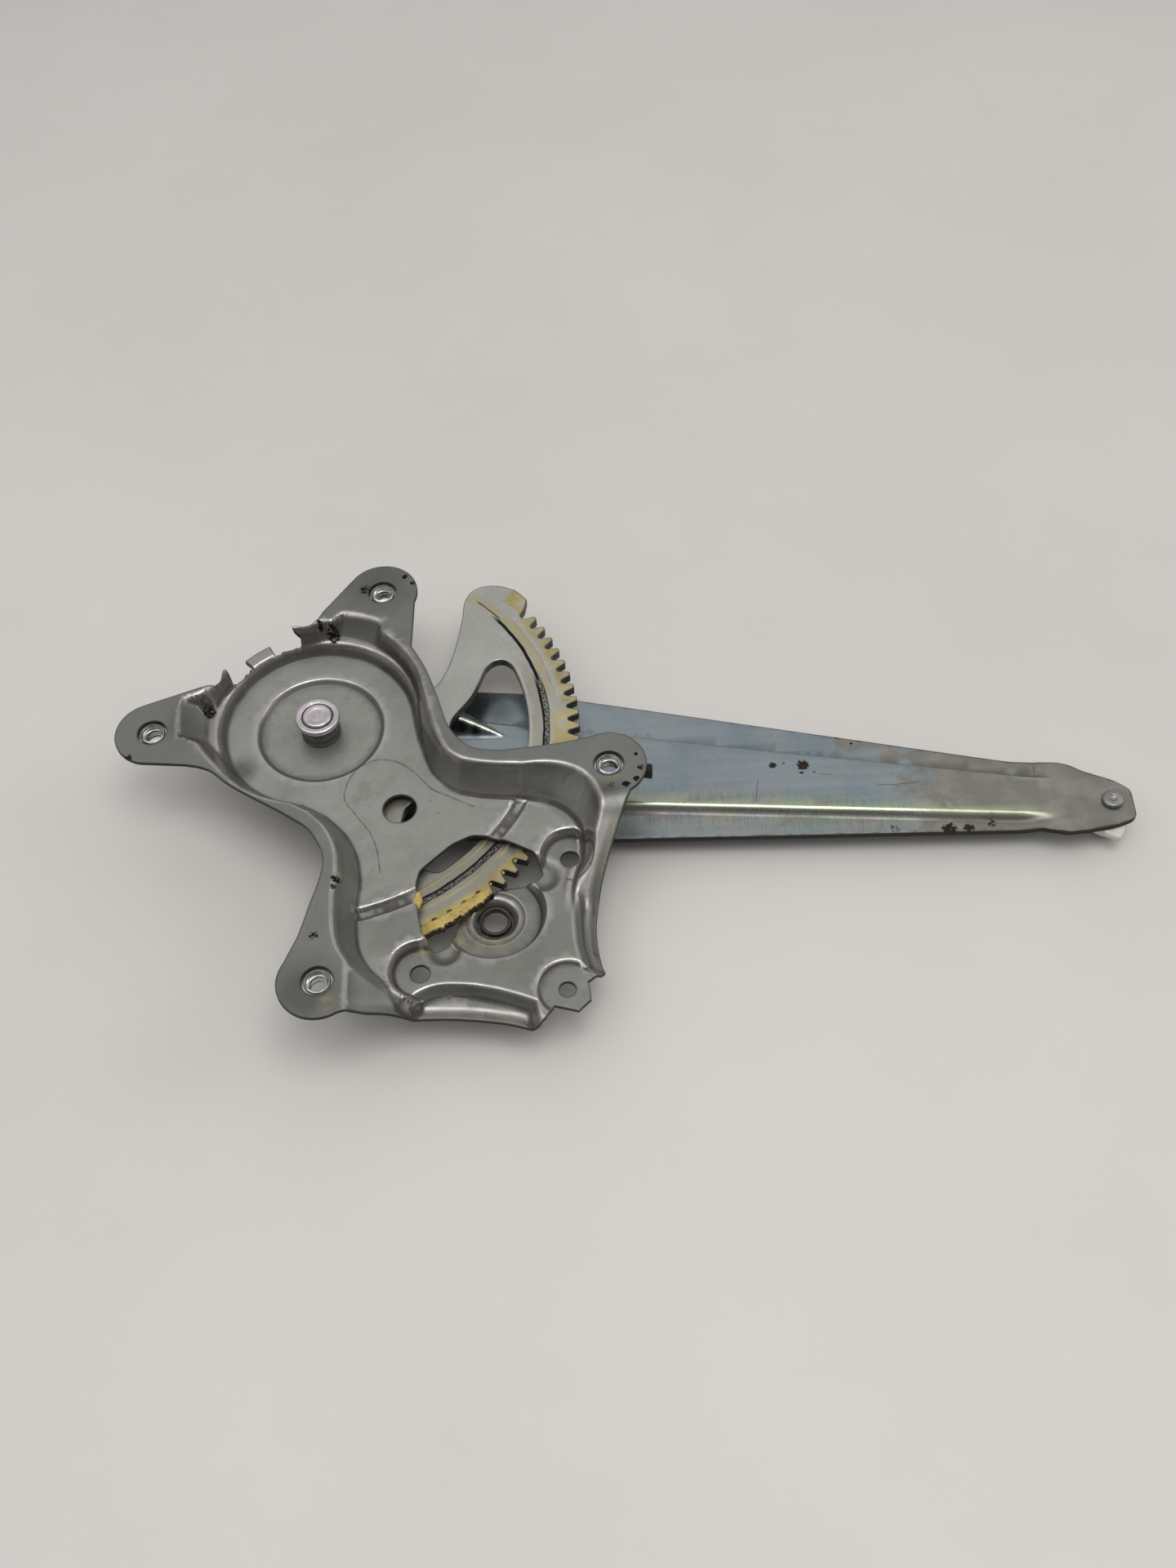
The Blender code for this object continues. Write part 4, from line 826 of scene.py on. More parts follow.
def setLight():
    half = light.floorHalf
    corners = [(x * half, y * half, light.floorLevel) for x, y in ((-1, -1), (1, -1), (1, 1), (-1, 1))]
    plane = meshFrom("floor", corners, [(0, 1, 2, 3)])
    plane.materials.append(makeFloorTone())
    floor = addObject("floor", plane)
    for name, (place, size, power, colour) in light.lamps.items():
        lamp = bpy.data.lights.new(name + "Light", "AREA")
        lamp.shape, lamp.size, lamp.energy, lamp.color = "SQUARE", size, power, colour
        holder = addObject(name + "Light", lamp)
        holder.location = place
        holder.rotation_euler = (Vector(light.aim) - Vector(place)).to_track_quat("-Z", "Y").to_euler()
    scene.world = bpy.data.worlds.new("studio")
    scene.world.use_nodes = True
    tree = scene.world.node_tree
    x, y, z = Field(addNode(tree, "ShaderNodeTexCoord", {})["Generated"]).parts()
    sky = z.ramp([(height, (shade, shade, shade)) for height, shade in light.sky])
    sky = sky + y.straight(0.0, 1.0, 0.0, light.north) - y.straight(-1.0, 0.0, light.south, 0.0)
    sky = sky + x.reckon("ABSOLUTE").spread(0.3, 1.0, 0.0, light.sides) | light.least
    seen = Field(addNode(tree, "ShaderNodeLightPath", {})["Is Camera Ray"])
    plug(seen.straight(0.0, 1.0, sky, light.backdrop), tree.nodes["Background"].inputs["Color"])
    scene.view_settings.view_transform = "Standard"


setCamera()
setLight()
print("camera, floor and light set")

# base plate
plate = Values(
    sheet=1.3, earRise=9.8,
    discDepth=1.5, discRadius=18.3, discSlope=1.5,
    grooveDepth=1.0, grooveRadius=65.7, grooveWidth=4.2, grooveSlope=0.9, grooveTurns=(-79.0, -26.4),
    flatDrop=3.0, flatRadius=79.5, flatHalfTurn=20.0, flatSlope=1.5, flatTurns=(-74, -30),
    skirtDrop=6.0, lipWidth=2.8, lipSlope=1.8, lipDrop=1.0, lipClear=(10.0, 14.0),
    lugDrop=0.8, lugRadius=8.6, padRadius=8.4,
    pocketDepth=2.0, pocketRadius=5.4, pocketSlope=2.6, pocketReach=17.4,
    recessRadius=14.5, recessSlope=1.5, recessFloor=-7.0,
    ringStep=0.15, ringRadius=8.7, ringSlope=0.5, burrDepth=1.45, burrRadius=6.6, burrSlope=1.4,
    wallRun=1.7, wallLean=0.34, footBend=0.45, topBend=0.8, wideWall=((74.0, -30.0), 12.0, 3.4),
    moat=0.7, bead=0.3, moatX=(34.0, 48.0), moatY=(-66.0, -58.0), wave=0.035, ripple=0.02,
    # half widths of the dark lines (the die's, the others painted shade at the feet of walls and steps), where the
    # one at the bottom skirt starts and ends, and the dish's reach
    lineWidths=Values(die=0.26, moat=0.42, skirt=0.4, recess=0.55, pad=0.4),
    skirtLine=((24.0, 30.0), (66.0, 72.0)), dishReach=(-44.0, -38.0), rimLevels=(5.5, 9.4), lowLevels=(1.4, 2.9),
    ledgeRise=4.0, ledgeRun=2.0, ledgeReach=(-45.0, -40.0),
    # turn about the pivot, share of the ledge there, where its second wall starts and how wide that is
    ledge=[
        (-32, 0.0, 0.0, 5.0), (-8, 0.7, 1.6, 3.0), (12, 1.0, 2.3, 1.7), (40, 1.0, 3.0, 1.9),
        (57, 1.0, 3.7, 2.2), (60.5, 1.0, 4.2, 5.4), (80.5, 1.0, 4.4, 5.0), (84.5, 1.0, 3.4, 2.4),
        (97, 1.0, 2.4, 2.4), (107, 1.0, 2.3, 2.4), (146, 1.0, 2.3, 2.6), (157, 1.0, 2.6, 3.0),
        (167, 1.0, 3.6, 3.4), (170.5, 1.0, 5.0, 7.6), (190, 1.0, 5.0, 7.2), (195, 1.0, 3.6, 4.0),
        (207, 0.6, 2.6, 4.0), (224, 0.0, 0.0, 5.0),
    ],
    ears={"left": (-47.0, -5.3), "top": (18.3, 43.8), "right": (84.2, -25.1), "bottom": (5.0, -89.1)},
    earRadius=10.8, earHole=4.2, pivotHole=5.2, webHole=((24.0, -30.0), 4.8),
    dishRadius=27.7, tabRadius=33.8, tabTurns=(119.0, 134.0), tabSide=2.0,
    trimRadius=29.8, shear=(-0.22, 0.18), shearStep=1.3,  # torn edge of the dish
    windowClear=77.6, windowFloor=75.1, windowLobe=82.2, windowCorner=1.3, lugReach=16.6,
    motorHoles=[((71.8, -48.3), 2.6), ((30.2, -81.9), 2.6), ((69.6, -88.5), 2.2)],
    pinion=polar(81.3, -51.8), pinionTurn=-51.8, pinionHole=4.9,
    skirtFallRight=(-37.0, -62.0), skirtFallBottom=(12.5, 28.0), skirtSideX=(45.0, 60.0), skirtSideY=(-80.0, -86.0),
    # place, radius and depth of handling dents in the walls
    dents=[((-33.4, 7.0), 2.6, 1.5), ((0.5, 32.6), 2.2, 0.8)],
    # place, radius and strength of grease and brown stains
    stains=[
        (43.5, -64.5, 4.6, 1.0), (46.5, -69.5, 3.6, 0.9), (51.0, -71.0, 2.6, 0.6), (41.0, -70.0, 3.6, 0.6),
        (31.6, -72.4, 1.7, 1.0), (31.1, -75.2, 1.5, 0.9), (29.0, -57.0, 1.6, 0.5), (8.4, -56.4, 1.3, 0.7),
        (36.0, -53.0, 1.6, 0.4), (7.6, -95.4, 2.6, 0.4), (84.6, -29.7, 2.4, 0.4), (84.0, -45.0, 3.4, 0.4),
        (81.4, -54.0, 2.6, 0.4),
    ],
    # the same for black smudges
    smuts=[
        (12.8, 45.3, 2.4, 0.7), (8.9, 40.2, 3.6, 0.4), (3.3, 31.4, 2.4, 0.85), (-0.6, 33.0, 1.6, 0.8),
        (-32.4, 5.0, 2.6, 0.85), (25.2, 49.7, 1.2, 0.9), (27.6, 46.8, 1.0, 0.9), (8.4, -58.2, 1.5, 0.9),
        (8.0, -60.6, 1.1, 0.8), (3.5, -75.6, 1.6, 0.8), (5.5, -54.1, 2.6, 0.3), (88.6, -32.6, 1.4, 1.0),
        (91.6, -31.0, 1.2, 0.9), (93.2, -27.2, 1.3, 0.9), (92.0, -22.6, 0.9, 0.8), (84.6, -32.5, 1.5, 0.6),
        (-52.7, -14.0, 1.6, 0.8), (16.1, -53.3, 2.6, 0.3), (23.0, -86.0, 3.0, 0.5), (27.0, -90.6, 3.4, 0.5),
        (46.5, -92.8, 3.0, 0.4), (80.2, -60.0, 3.0, 0.4), (36.0, -76.0, 3.4, 0.35), (56.0, -82.0, 4.0, 0.2),
        (76.8, -52.0, 2.0, 0.5), (73.5, -60.0, 1.6, 0.4),
    ],
    # the same for broad patches of painted shade
    dusks=[
        (-36.5, -1.0, 6.5, 0.34), (83.6, -36.0, 4.8, 0.8), (-22.0, -13.6, 4.2, 0.75), (18.0, 48.0, 11.0, 0.5),
        (2.0, -92.5, 10.0, 0.75), (56.0, -77.0, 15.0, 0.2), (49.9, -64.5, 11.0, 0.6), (23.8, -69.0, 10.0, 0.42),
        (30.0, -78.0, 8.0, 0.2),
    ],
    dieLine=[(45, -30.7), (38, -26.7), (33, -23.7), (28, -17.7), (23, -13.7), (18, -12.5), (14, -13.7)]
    + [(10, -17.2), (8, -25.2), (12, -32.2), (16, -38.2), (18, -44.2), (19, -51.2)],
    detail=Values(edge=0.8, fine=0.5, coarse=2.2, bend=0.08, rim=0.28, drop=0.16, slant=0.35, curl=0.7),
)
padHoles, lugPlace = [hole for hole, _ in plate.motorHoles[:2]], plate.motorHoles[2][0]


def plateOutline():
    rightWaist = [(72.5, -16.8), (62, -17.9), (52, -18.2), (44, -15.8), (38.8, -8.5), (35.5, 2.5)]
    rightWaist += [(32, 13), (27.6, 22)]
    leftWaist = [(-36, -17.4), (-29.5, -19.6), (-22, -26), (-6, -36.8), (1, -43), (4.7, -53)]
    leftWaist += [(1.5, -67), (-0.8, -75.5)]
    bottomEdge = [(17, -96.6), (25, -93.8), (38.5, -93.9), (52, -95.9), (60, -98.3)]
    rightEdge = [(79.2, -81), (78.3, -74), (78.4, -66), (80.3, -56.8), (84, -47)]
    lug = [(61.8, -98.2), (63.6, -96.8), (65.2, -94.4), (66, -93.2), (72.3, -95.1), (75.8, -91.9), (75.6, -88)]
    lug += [(75.2, -86.6), (76.6, -85.6), (78.8, -84.4), (79.9, -82.8)]
    topHorn = [(0.3, 37.3), (-1.1, 34.6), (-3.1, 32.7), (-5.6, 32.1), (-8.5, 32.2), (-8.3, 31.2), (-6.6, 30.6)]
    leftHorn = [(-26.2, 15.2), (-27.2, 17.0), (-28.3, 16.8), (-29.2, 13.8), (-30.6, 11.9)]
    ears, earRadius = plate.ears, plate.earRadius
    tabStart, tabEnd = plate.tabTurns

    def sheared(start, end):
        turns = np.linspace(start, end, max(3, round(abs(end - start) / plate.shearStep)))
        return [polar(plate.trimRadius + chance.uniform(*plate.shear), turn) for turn in turns]

    return [
        *arc(ears["right"], earRadius, -58, 92),
        *curveThrough(rightWaist),
        *arc(ears["top"], earRadius, -22, 147),
        *curveThrough(topHorn, 4),
        *sheared(103, tabStart),
        *arc(origin, plate.tabRadius, tabStart, tabEnd, 2.0),
        *sheared(tabEnd, 148),
        *curveThrough(leftHorn, 4),
        *arc(ears["left"], earRadius, 109, 258),
        *curveThrough(leftWaist),
        *arc(ears["bottom"], earRadius, 148, 300),
        *curveThrough(bottomEdge),
        *lug,
        *curveThrough(rightEdge),
    ]


def wallFoot():
    right = [(28.6, -3), (30.4, -10.2), (33.8, -19.1), (39.2, -24.4), (45.6, -26.7), (52.5, -27.9), (60, -28.7)]
    right += [(66.8, -30.6), (72.4, -34.8), (75.6, -40.5), (75.5, -48), (72.8, -56), (72.1, -64)]
    right += [(72.3, -74), (74, -83)]
    bottom = [(61.5, -91.6), (53, -88.2), (44.5, -86), (36, -85.2), (30, -87), (26, -90.4)]
    left = [(22, -86.8), (17, -81.3), (13.8, -74.6), (13, -63.5), (13.6, -55), (12.6, -46.5), (9, -38.4), (3, -31.6)]
    toLug, dish = arc(lugPlace, plate.lugReach, -10, -112, 4), arc(origin, plate.dishRadius, -98, -354, 2)
    return curveThrough(right, 16) + toLug + curveThrough(bottom, 16) + curveThrough(left, 16) + dish


def windowOutline():
    clear, lobe = plate.windowClear, plate.windowLobe
    left = [(29, -55.8), (29.8, -65), polar(clear, -66.5)]
    left += [polar(lobe, -65.6), polar(lobe, -62.4), polar(clear + 1, -60)]
    right = [polar(clear + 1, -43.6), polar(lobe, -41.2), polar(lobe, -38.6), polar(clear, -37.2)]
    top = [(54.8, -43), (50.2, -41.1), (44.6, -40.4), (39, -43), (33.6, -47.8), (30, -51.2)]
    return left + arc(origin, plate.windowFloor, -57.0, -46.6, 2) + right + top


footLine, plateEdge = wallFoot(), plateOutline()


def skirtShare(points):
    x, y = points.T
    start, end = plate.skirtFallRight
    right = softRamp((y - start) / (end - start), 0.1) * shareOf(x, plate.skirtSideX)
    return np.maximum(right, shareOf(x, plate.skirtFallBottom) * shareOf(y, plate.skirtSideY))


def rimLevel(points):
    return plate.earRise - (plate.earRise + plate.skirtDrop) * skirtShare(points)


def tabShare(points):
    turn = turnOf(points)
    beside = np.maximum(plate.tabTurns[0] - turn, turn - plate.tabTurns[1])
    return np.clip(1 - beside / plate.tabSide, 0, 1) * (distanceTo(points, origin) < plate.tabRadius + gap)


def moatShare(points):  # foot of the right wall
    return shareOf(points[:, 0], plate.moatX) * shareOf(points[:, 1], plate.moatY)


def wallRuns(points, rise):
    # width of the first wall, start and width of the second: the two are one wall away from the dish
    turn = np.mod(turnOf(points) + 100, 360) - 100
    turns, shares, starts, widths = np.array(plate.ledge).T
    share = np.interp(turn, turns, shares) * shareOf(-distanceTo(points, origin), plate.ledgeReach)
    centre, radius, extra = plate.wideWall
    width = plate.wallRun + plate.wallLean * np.abs(rise)
    width = width + extra * np.clip(1.3 - distanceTo(points, centre) / radius, 0, 1)
    first = width + (plate.ledgeRun - width) * share
    second = width + (np.interp(turn, turns, widths) - width) * share
    return first, np.interp(turn, turns, starts) * share, second


def floorLevel(points):
    radius, turn = distanceTo(points, origin), turnOf(points)
    toPinion = distanceTo(points, plate.pinion)
    sideways = np.radians(plate.flatHalfTurn - np.abs(turn - plate.pinionTurn)) * plate.flatRadius
    reach = np.minimum(radius - plate.flatRadius, sideways)
    for hole in padHoles:
        reach = np.maximum(reach, plate.padRadius - distanceTo(points, hole))
    level = -plate.flatDrop * softRamp(reach / plate.flatSlope, 0.35, 0.22)
    level -= plate.lugDrop * softRamp(plate.lugRadius - distanceTo(points, lugPlace), 0.4)
    for side in (-90, 90):
        pocket = polar(plate.pocketReach, plate.pinionTurn + side, plate.pinion)
        inPocket = (plate.pocketRadius - distanceTo(points, pocket)) / plate.pocketSlope
        level -= plate.pocketDepth * softRamp(inPocket, 0.4)
    level += (plate.recessFloor - level) * softRamp((plate.recessRadius - toPinion) / plate.recessSlope, 0.2)
    level -= plate.ringStep * softRamp((plate.ringRadius - toPinion) / plate.ringSlope, 0.3)
    level -= plate.burrDepth * softRamp((plate.burrRadius - toPinion) / plate.burrSlope, 0.35)
    level -= plate.discDepth * softRamp((plate.discRadius + plate.discSlope / 2 - radius) / plate.discSlope, 0.2)
    across = (plate.grooveWidth / 2 - np.abs(radius - plate.grooveRadius)) / plate.grooveSlope
    start, end = plate.grooveTurns
    along = np.radians(np.minimum(turn - start, end - turn)) * plate.grooveRadius / plate.grooveSlope
    return level - plate.grooveDepth * softRamp(np.minimum(across, along), 0.2)


def plateLevel(points):
    floor = floorLevel(points)
    rise = rimLevel(points) - floor
    first, start, second = wallRuns(points, rise)
    away = loopDistance(points, footLine)
    low = plate.ledgeRise / plate.earRise

    def wall(distance, width):
        foot, top = plate.footBend / width, plate.topBend / width
        return softRamp(distance / width, np.clip(foot, 0.08, 0.4), np.clip(top, 0.08, 0.45))

    pinch = plate.bead * np.exp(-(((away + 1.5) / 0.8) ** 2)) - plate.moat * np.exp(-((away / 0.65) ** 2))
    climb = low * wall(away, first) + (1 - low) * wall(away - start, second) * (1 - tabShare(points))
    level = floor + moatShare(points) * pinch + rise * climb
    lip = skirtShare(points) * shareOf(distanceTo(points, lugPlace), plate.lipClear)
    skirt = lip > 0
    inward = -loopDistance(points[skirt], plateEdge)
    level[skirt] -= plate.lipDrop * softRamp((plate.lipWidth - inward) / plate.lipSlope, 0.35) * lip[skirt]
    for centre, radius, depth in plate.dents:
        level -= depth * np.clip(1 - (distanceTo(points, centre) / radius) ** 2, 0, 1) ** 2
    x, y = points.T
    level = level + plate.wave * np.sin(x * 0.31 + 1.3) * np.sin(y * 0.27)  # not quite flat
    return level + plate.ripple * np.sin(x * 0.83 - y * 0.55)


def plateGuides():
    # mesh lines along the bends, so that they shade cleanly
    def runs(number):
        return lambda places: wallRuns(places, rimLevel(places) - floorLevel(places))[number]

    def stepGuides(centre, edge, slope, past):
        return ringGuides(centre, [edge - slope * share for share in np.linspace(-past, 1 + past, 9)])

    bends = (-0.7, -0.45, -0.28, -0.14, -0.04, 0.06, 0.17, 0.3, 0.5, 0.65, 0.79, 0.86, 0.93, 1.0, 1.07, 1.14, 1.21)
    burrRings, lugRings = (8.98, 8.7, 8.4, 8.1, 7.85, 7.1, 6.6, 6.1, 5.6, 5.25), (9.0, 8.75, 8.5, 8.2, 7.9, 7.6, 7.2)
    guides = offsetGuides(footLine, bends, runs(0)) + offsetGuides(footLine, bends, runs(2), 1.0, runs(1))
    guides += stepGuides(origin, plate.discRadius + plate.discSlope / 2, plate.discSlope, 0.24)
    guides += stepGuides(plate.pinion, plate.recessRadius, plate.recessSlope, 0.32)
    guides += ringGuides(plate.pinion, burrRings)
    for hole in padHoles:
        guides += stepGuides(hole, plate.padRadius, plate.flatSlope, 0.36)
    guides += ringGuides(lugPlace, lugRings)
    start, end = plate.grooveTurns
    for share in np.linspace(-0.24, 1.24, 7):
        half = plate.grooveWidth / 2 - plate.grooveSlope * share
        for away in (-half, half):
            guides += arc(origin, plate.grooveRadius + away, start - 0.3, end + 0.3, 0.9)
    for share in np.linspace(-0.36, 1.36, 8):
        guides += arc(origin, plate.flatRadius + plate.flatSlope * share, *plate.flatTurns, 0.8)
    inset = offsetGuides(plateEdge, (-0.5, -0.9, -1.4, -2.0, -2.6, -3.2), 1.0)
    return guides + [spot for spot, share in zip(inset, skirtShare(np.array(inset))) if share > 0.02]


def makePlate():
    holes = [(ear, plate.earHole) for ear in plate.ears.values()] + [*plate.motorHoles, plate.webHole]
    holes = [circle(*hole) for hole in [*holes, (plate.pinion, plate.pinionHole), (origin, plate.pivotHole)]]
    holes.append(roundCorners(windowOutline(), plate.windowCorner))
    dieLine = np.array(curveThrough(plate.dieLine, 40))
    sideways = np.gradient(dieLine, axis=0)[:, ::-1] * (-1, 1)
    sideways *= 0.28 / np.linalg.norm(sideways, axis=1, keepdims=True)
    guides = [*dieLine, *(dieLine + sideways), *(dieLine - sideways), *plateGuides()]
    guides += spotGuides(plate.smuts + plate.stains)
    points, faces, masks, top = pressedSheet(plateEdge, holes, plateLevel, plate.sheet, plate.detail, guides)
    flat = points[: len(top), :2]
    x, y = flat.T
    away, widths = loopDistance(flat, footLine), plate.lineWidths

    def edging(distance, width, share):
        return np.clip(1.3 - np.abs(distance) / width, 0, 1) * share

    # dark lines: the die's, then painted shade at the feet of the right wall, the bottom skirt, the shaded side of
    # the pinion recess and the pads
    broken = 0.5 + 0.5 * np.sin(x * 1.9 + 2 * np.sin(y * 1.3))
    lowEdge = between(x, *plate.skirtLine) * (y < -82)
    fromPinion = flat - plate.pinion
    shadedSide = shareOf(fromPinion[:, 0] - 0.6 * fromPinion[:, 1], (-6.0, 6.0))
    recessFoot = plate.recessRadius - plate.recessSlope
    lines = [
        np.clip(1.15 - lineDistance(flat, dieLine) / widths.die, 0, 1) * (0.6 + 0.4 * broken),
        edging(away - 0.1, widths.moat, 0.9 * moatShare(flat)),
        edging(away - 2.6, widths.skirt, 0.9 * lowEdge),
        edging(distanceTo(flat, plate.pinion) - recessFoot, widths.recess, 0.92 * shadedSide),
    ]
    padFoot = plate.padRadius - plate.flatSlope
    lines += [edging(distanceTo(flat, hole) - padFoot, widths.pad, 0.85 * (top > -2.9)) for hole in padHoles]
    masks["wall"] *= shareOf(-distanceTo(points, origin), plate.dishReach)  # in the dish only, where it darkens the walls as painted shade
    masks["scribe"] = np.max(lines, axis=0)
    masks["rim"] = np.maximum(shareOf(top, plate.rimLevels), 0.8 * skirtShare(flat) * shareOf(away, (2.0, 5.0)))
    masks["low"] = shareOf(-top, plate.lowLevels)
    # patches of painted shade, stains and black smudges, each from its list
    for label in ("dusk", "stain", "smut"):
        masks[label] = spotted(flat, plate[label + "s"])
    placeShape("basePlate", points, faces, dullZinc, "base", "dull_zinc", ["base_plate"], 48, masks)


makePlate()

# sector gear
sector = Values(
    top=-3.1, thickness=3.0, pitch=3.73, teeth=28, firstTooth=32.55, tipRadius=76.6, rootRadius=73.3,
    # height as a share of the tooth, half width as a share of the pitch
    flank=[(0.0, 0.43), (0.06, 0.385), (0.25, 0.325), (0.5, 0.262), (0.75, 0.205), (0.93, 0.165), (1.0, 0.11)],
    noseRadius=78.8, hubRadius=26.0, openInner=37.5, openOuter=61.5, openTurns=(-58.0, 26.0), openCorner=2.0,
    detail=Values(edge=0.9, fine=1.2, coarse=3.6, bend=1.0, rim=0.22, drop=0.16, slant=0.0, curl=0.5),
)
rivet = Values(circle=12.3, turns=(30.0, 150.0, 270.0), shank=2.2, head=2.9, headFlat=2.0, headHeight=1.5)
rivetPlaces = [polar(rivet.circle, turn) for turn in rivet.turns]
rivetHoles = [circle(place, rivet.shank + gap, 32) for place in rivetPlaces]
pinBore = 4.3


def sectorOutline():
    root, pitch, first, far = sector.rootRadius, sector.pitch, sector.firstTooth, sector.noseRadius
    rim = []
    for tooth in reversed(range(sector.teeth)):
        centre = first - pitch * tooth
        half = [(root + (sector.tipRadius - root) * rise, share) for rise, share in sector.flank]
        rim += [polar(radius, centre - pitch * share) for radius, share in half]
        rim += [polar(radius, centre + pitch * share) for radius, share in reversed(half)]
    upper = [(62.0, 49.0), (58.8, 52.8), (54.5, 55.0), (49.5, 55.7), (45.0, 54.0), (42.4, 49.5), (41.7, 43)]
    upperSpoke = [(41.7, 43), (39.6, 31.5), (36.6, 21.5), (32.6, 15.6), (27, 16.5)]
    nose, end = first + pitch, first - pitch * sector.teeth
    lowerSpoke = [polar(31, end - 20), polar(40, end - 8), polar(52, end - 6), polar(66, end - 8.6)]
    return [
        polar(root, end - 0.6),
        *rim,
        polar(root, nose - 0.9),
        polar(far - 2.6, nose + 0.2),
        *curveThrough(upper, 4)[:-1],
        *curveThrough(upperSpoke)[:-1],
        *arc(origin, sector.hubRadius, 36, 360 + end - 26),
        *curveThrough(lowerSpoke)[1:],
        polar(far - 3, end - 7.5),
        polar(far, end - 2.4),
        polar(far - 2, end - 0.9),
    ]


def sectorOpening():
    start, end = sector.openTurns
    inner, outer = sector.openInner, sector.openOuter
    loop = [
        *arc(origin, outer, start + 2.5, end - 4),
        polar(outer - 1.5, end - 1),
        polar(outer - 4.5, end),
        *curveThrough([polar(outer - 8, end - 1.5), polar(46, 15), polar(inner + 1.5, 6), polar(inner, -2)]),
        *arc(origin, inner, -9, start + 10),
        polar(inner + 4, start + 3),
        polar(inner + 12, start),
        polar(outer - 4, start),
    ]
    return roundCorners(loop, sector.openCorner)


def makeSector():
    def level(points):
        return np.full(len(points), sector.top)

    holes = [circle(origin, pinBore), sectorOpening(), *rivetHoles]
    points, faces, masks, _ = pressedSheet(sectorOutline(), holes, level, sector.thickness, sector.detail)
    placeShape("sectorGear", points, faces, gearSteel, "arm", "gear_steel", ["sector_gear"], 38, masks)


makeSector()

# lift arm
arm = Values(
    sheet=2.0, ribTop=-11.0, flangeTop=-13.0, bossTop=-6.4, tipCorner=1.6, ribCorner=3.0,
    ribSlope=(2.0, 1.0),  # south and north side
    rootRadius=22.6, ribRootRadius=16.4, bossRadius=17.4, bossSlope=4.2,
    # pressed ridge that runs out of the boss: crest line, height, south and north half widths
    ridge=Values(start=(24.0, 14.2), end=(54.0, 1.6), full=39.5, height=4.5, south=5.4, north=4.6),
    lean=0.145, middle=(-2.0, 2.0),  # slope of the middle line, down along the arm, and where north and south meet
    stud=(229.4, -33.7), tipRise=(26.4, 16.4), studBore=2.3, wave=0.03,
    # along the arm: where the rib's north side with its painted shade line, the film, the dust and the polish start
    # and end
    dullRib=((45.0, 60.0), (196.0, 206.0)), filmReach=((40.0, 80.0), (165.0, 190.0)), filmHalf=8.0,
    dustReach=(150.0, 192.0), polishReach=(-62.0, -56.0), scratchWidth=0.3,
    # place, radius and strength of dried dirt, of black spots and of shaded places
    dusts=[
        (157.0, -6.0, 7.0, 0.7), (164.0, -5.0, 6.0, 0.6), (151.5, -3.6, 4.0, 0.5), (170.0, -13.0, 6.0, 0.5),
        (176.0, -24.0, 7.0, 0.5), (120.0, -34.5, 9.0, 0.3), (140.0, -36.0, 9.0, 0.36),
    ],
    smuts=[
        (133.0, -14.5, 1.4, 0.9), (136.2, -13.8, 0.9, 0.6), (141.9, -15.1, 2.2, 1.0), (141.2, -17.8, 1.0, 0.7),
        (145.0, -18.0, 0.8, 0.6), (153.6, -4.2, 1.0, 0.7), (160.2, -5.9, 0.9, 0.9), (157.6, -6.9, 0.7, 0.8),
        (165.8, -4.8, 1.8, 0.6), (169.1, -8.4, 2.0, 0.5), (178.0, -9.0, 2.6, 0.55), (182.0, -11.5, 2.2, 0.45),
        (172.5, -13.5, 1.4, 0.45), (180.0, -27.5, 2.0, 0.45), (181.5, -39.0, 2.6, 0.9), (187.2, -39.2, 2.0, 0.9),
        (194.1, -37.9, 1.8, 0.7), (166.0, -37.8, 2.2, 0.6),
    ],
    shades=[
        (44.0, 15.5, 7.0, 0.62), (52.0, 14.0, 6.0, 0.5), (41.0, 4.6, 2.4, 0.9), (45.0, 3.4, 1.7, 0.9),
        (36.5, 6.2, 2.8, 0.9),
    ],
    scratches=[
        [(128.1, -19.5), (126.8, -26.7)], [(146.4, -18.6), (149.0, -18.9)], [(163.0, -23.5), (167.0, -23.8)],
        [(171.0, -23.6), (174.5, -23.4)], [(209.6, -19.5), (208.8, -24.5)],
    ],
    detail=Values(edge=1.0, fine=0.7, coarse=3.5, bend=0.05, rim=0.25, drop=0.1, slant=0.5, curl=0.4),
)


def fromStud(places):
    return [(arm.stud[0] + x, arm.stud[1] + y) for x, y in places]


def armOutline():
    lower = [(14, -24.5), (32, -31), (58, -35)]
    tip = [(-21.9, -7.3), (-18.6, -8.5), (-14.8, -9.8), (-8.8, -9.5), (-1, -8.4), (4, -6.9), (5.8, -5.7)]
    tip += [(6.2, 3.6), (1.8, 7.2), (-6.6, 11.1), (-9.2, 13.1), (-12.6, 14.5), (-16.9, 14.9), (-19.9, 15.6)]
    upper = [(62, 18.9), (40, 21.5)]
    return arc(origin, arm.rootRadius, 84, 284) + lower + roundCorners(fromStud(tip), arm.tipCorner, 3)[2:-2] + upper


def ribOutline():
    tip = fromStud([(-13.4, -3.5), (-10.4, 0.7), (-13.4, 8.1)])
    loop = arc(origin, arm.ribRootRadius, 79, 264.5) + tip
    return loop[:-3] + roundCorners(loop, arm.ribCorner, 5)[-18:]


def northShare(points):
    return shareOf(points[:, 1] + arm.lean * points[:, 0], arm.middle)


def ribRun(points):
    south, north = arm.ribSlope
    return south + (north - south) * northShare(points)


def ridgeRise(points):
    ridge = arm.ridge
    (x0, y0), (x1, y1) = ridge.start, ridge.end
    x, y = points.T
    left = np.clip((x1 - x) / (x1 - ridge.full), 0, 1) ** 0.85 * shareOf(x, (x0 - 12, x0))
    away = y - (y0 + (x - x0) * (y1 - y0) / (x1 - x0))
    width = np.where(away < 0, ridge.south, ridge.north) * np.maximum(left, 0.02)
    return ridge.height * left * softRamp(1.12 * (1 - np.abs(away) / width), 0.22, 0.3)


ribEdge, bossEdge = ribOutline(), circle(origin, arm.bossRadius, 72)


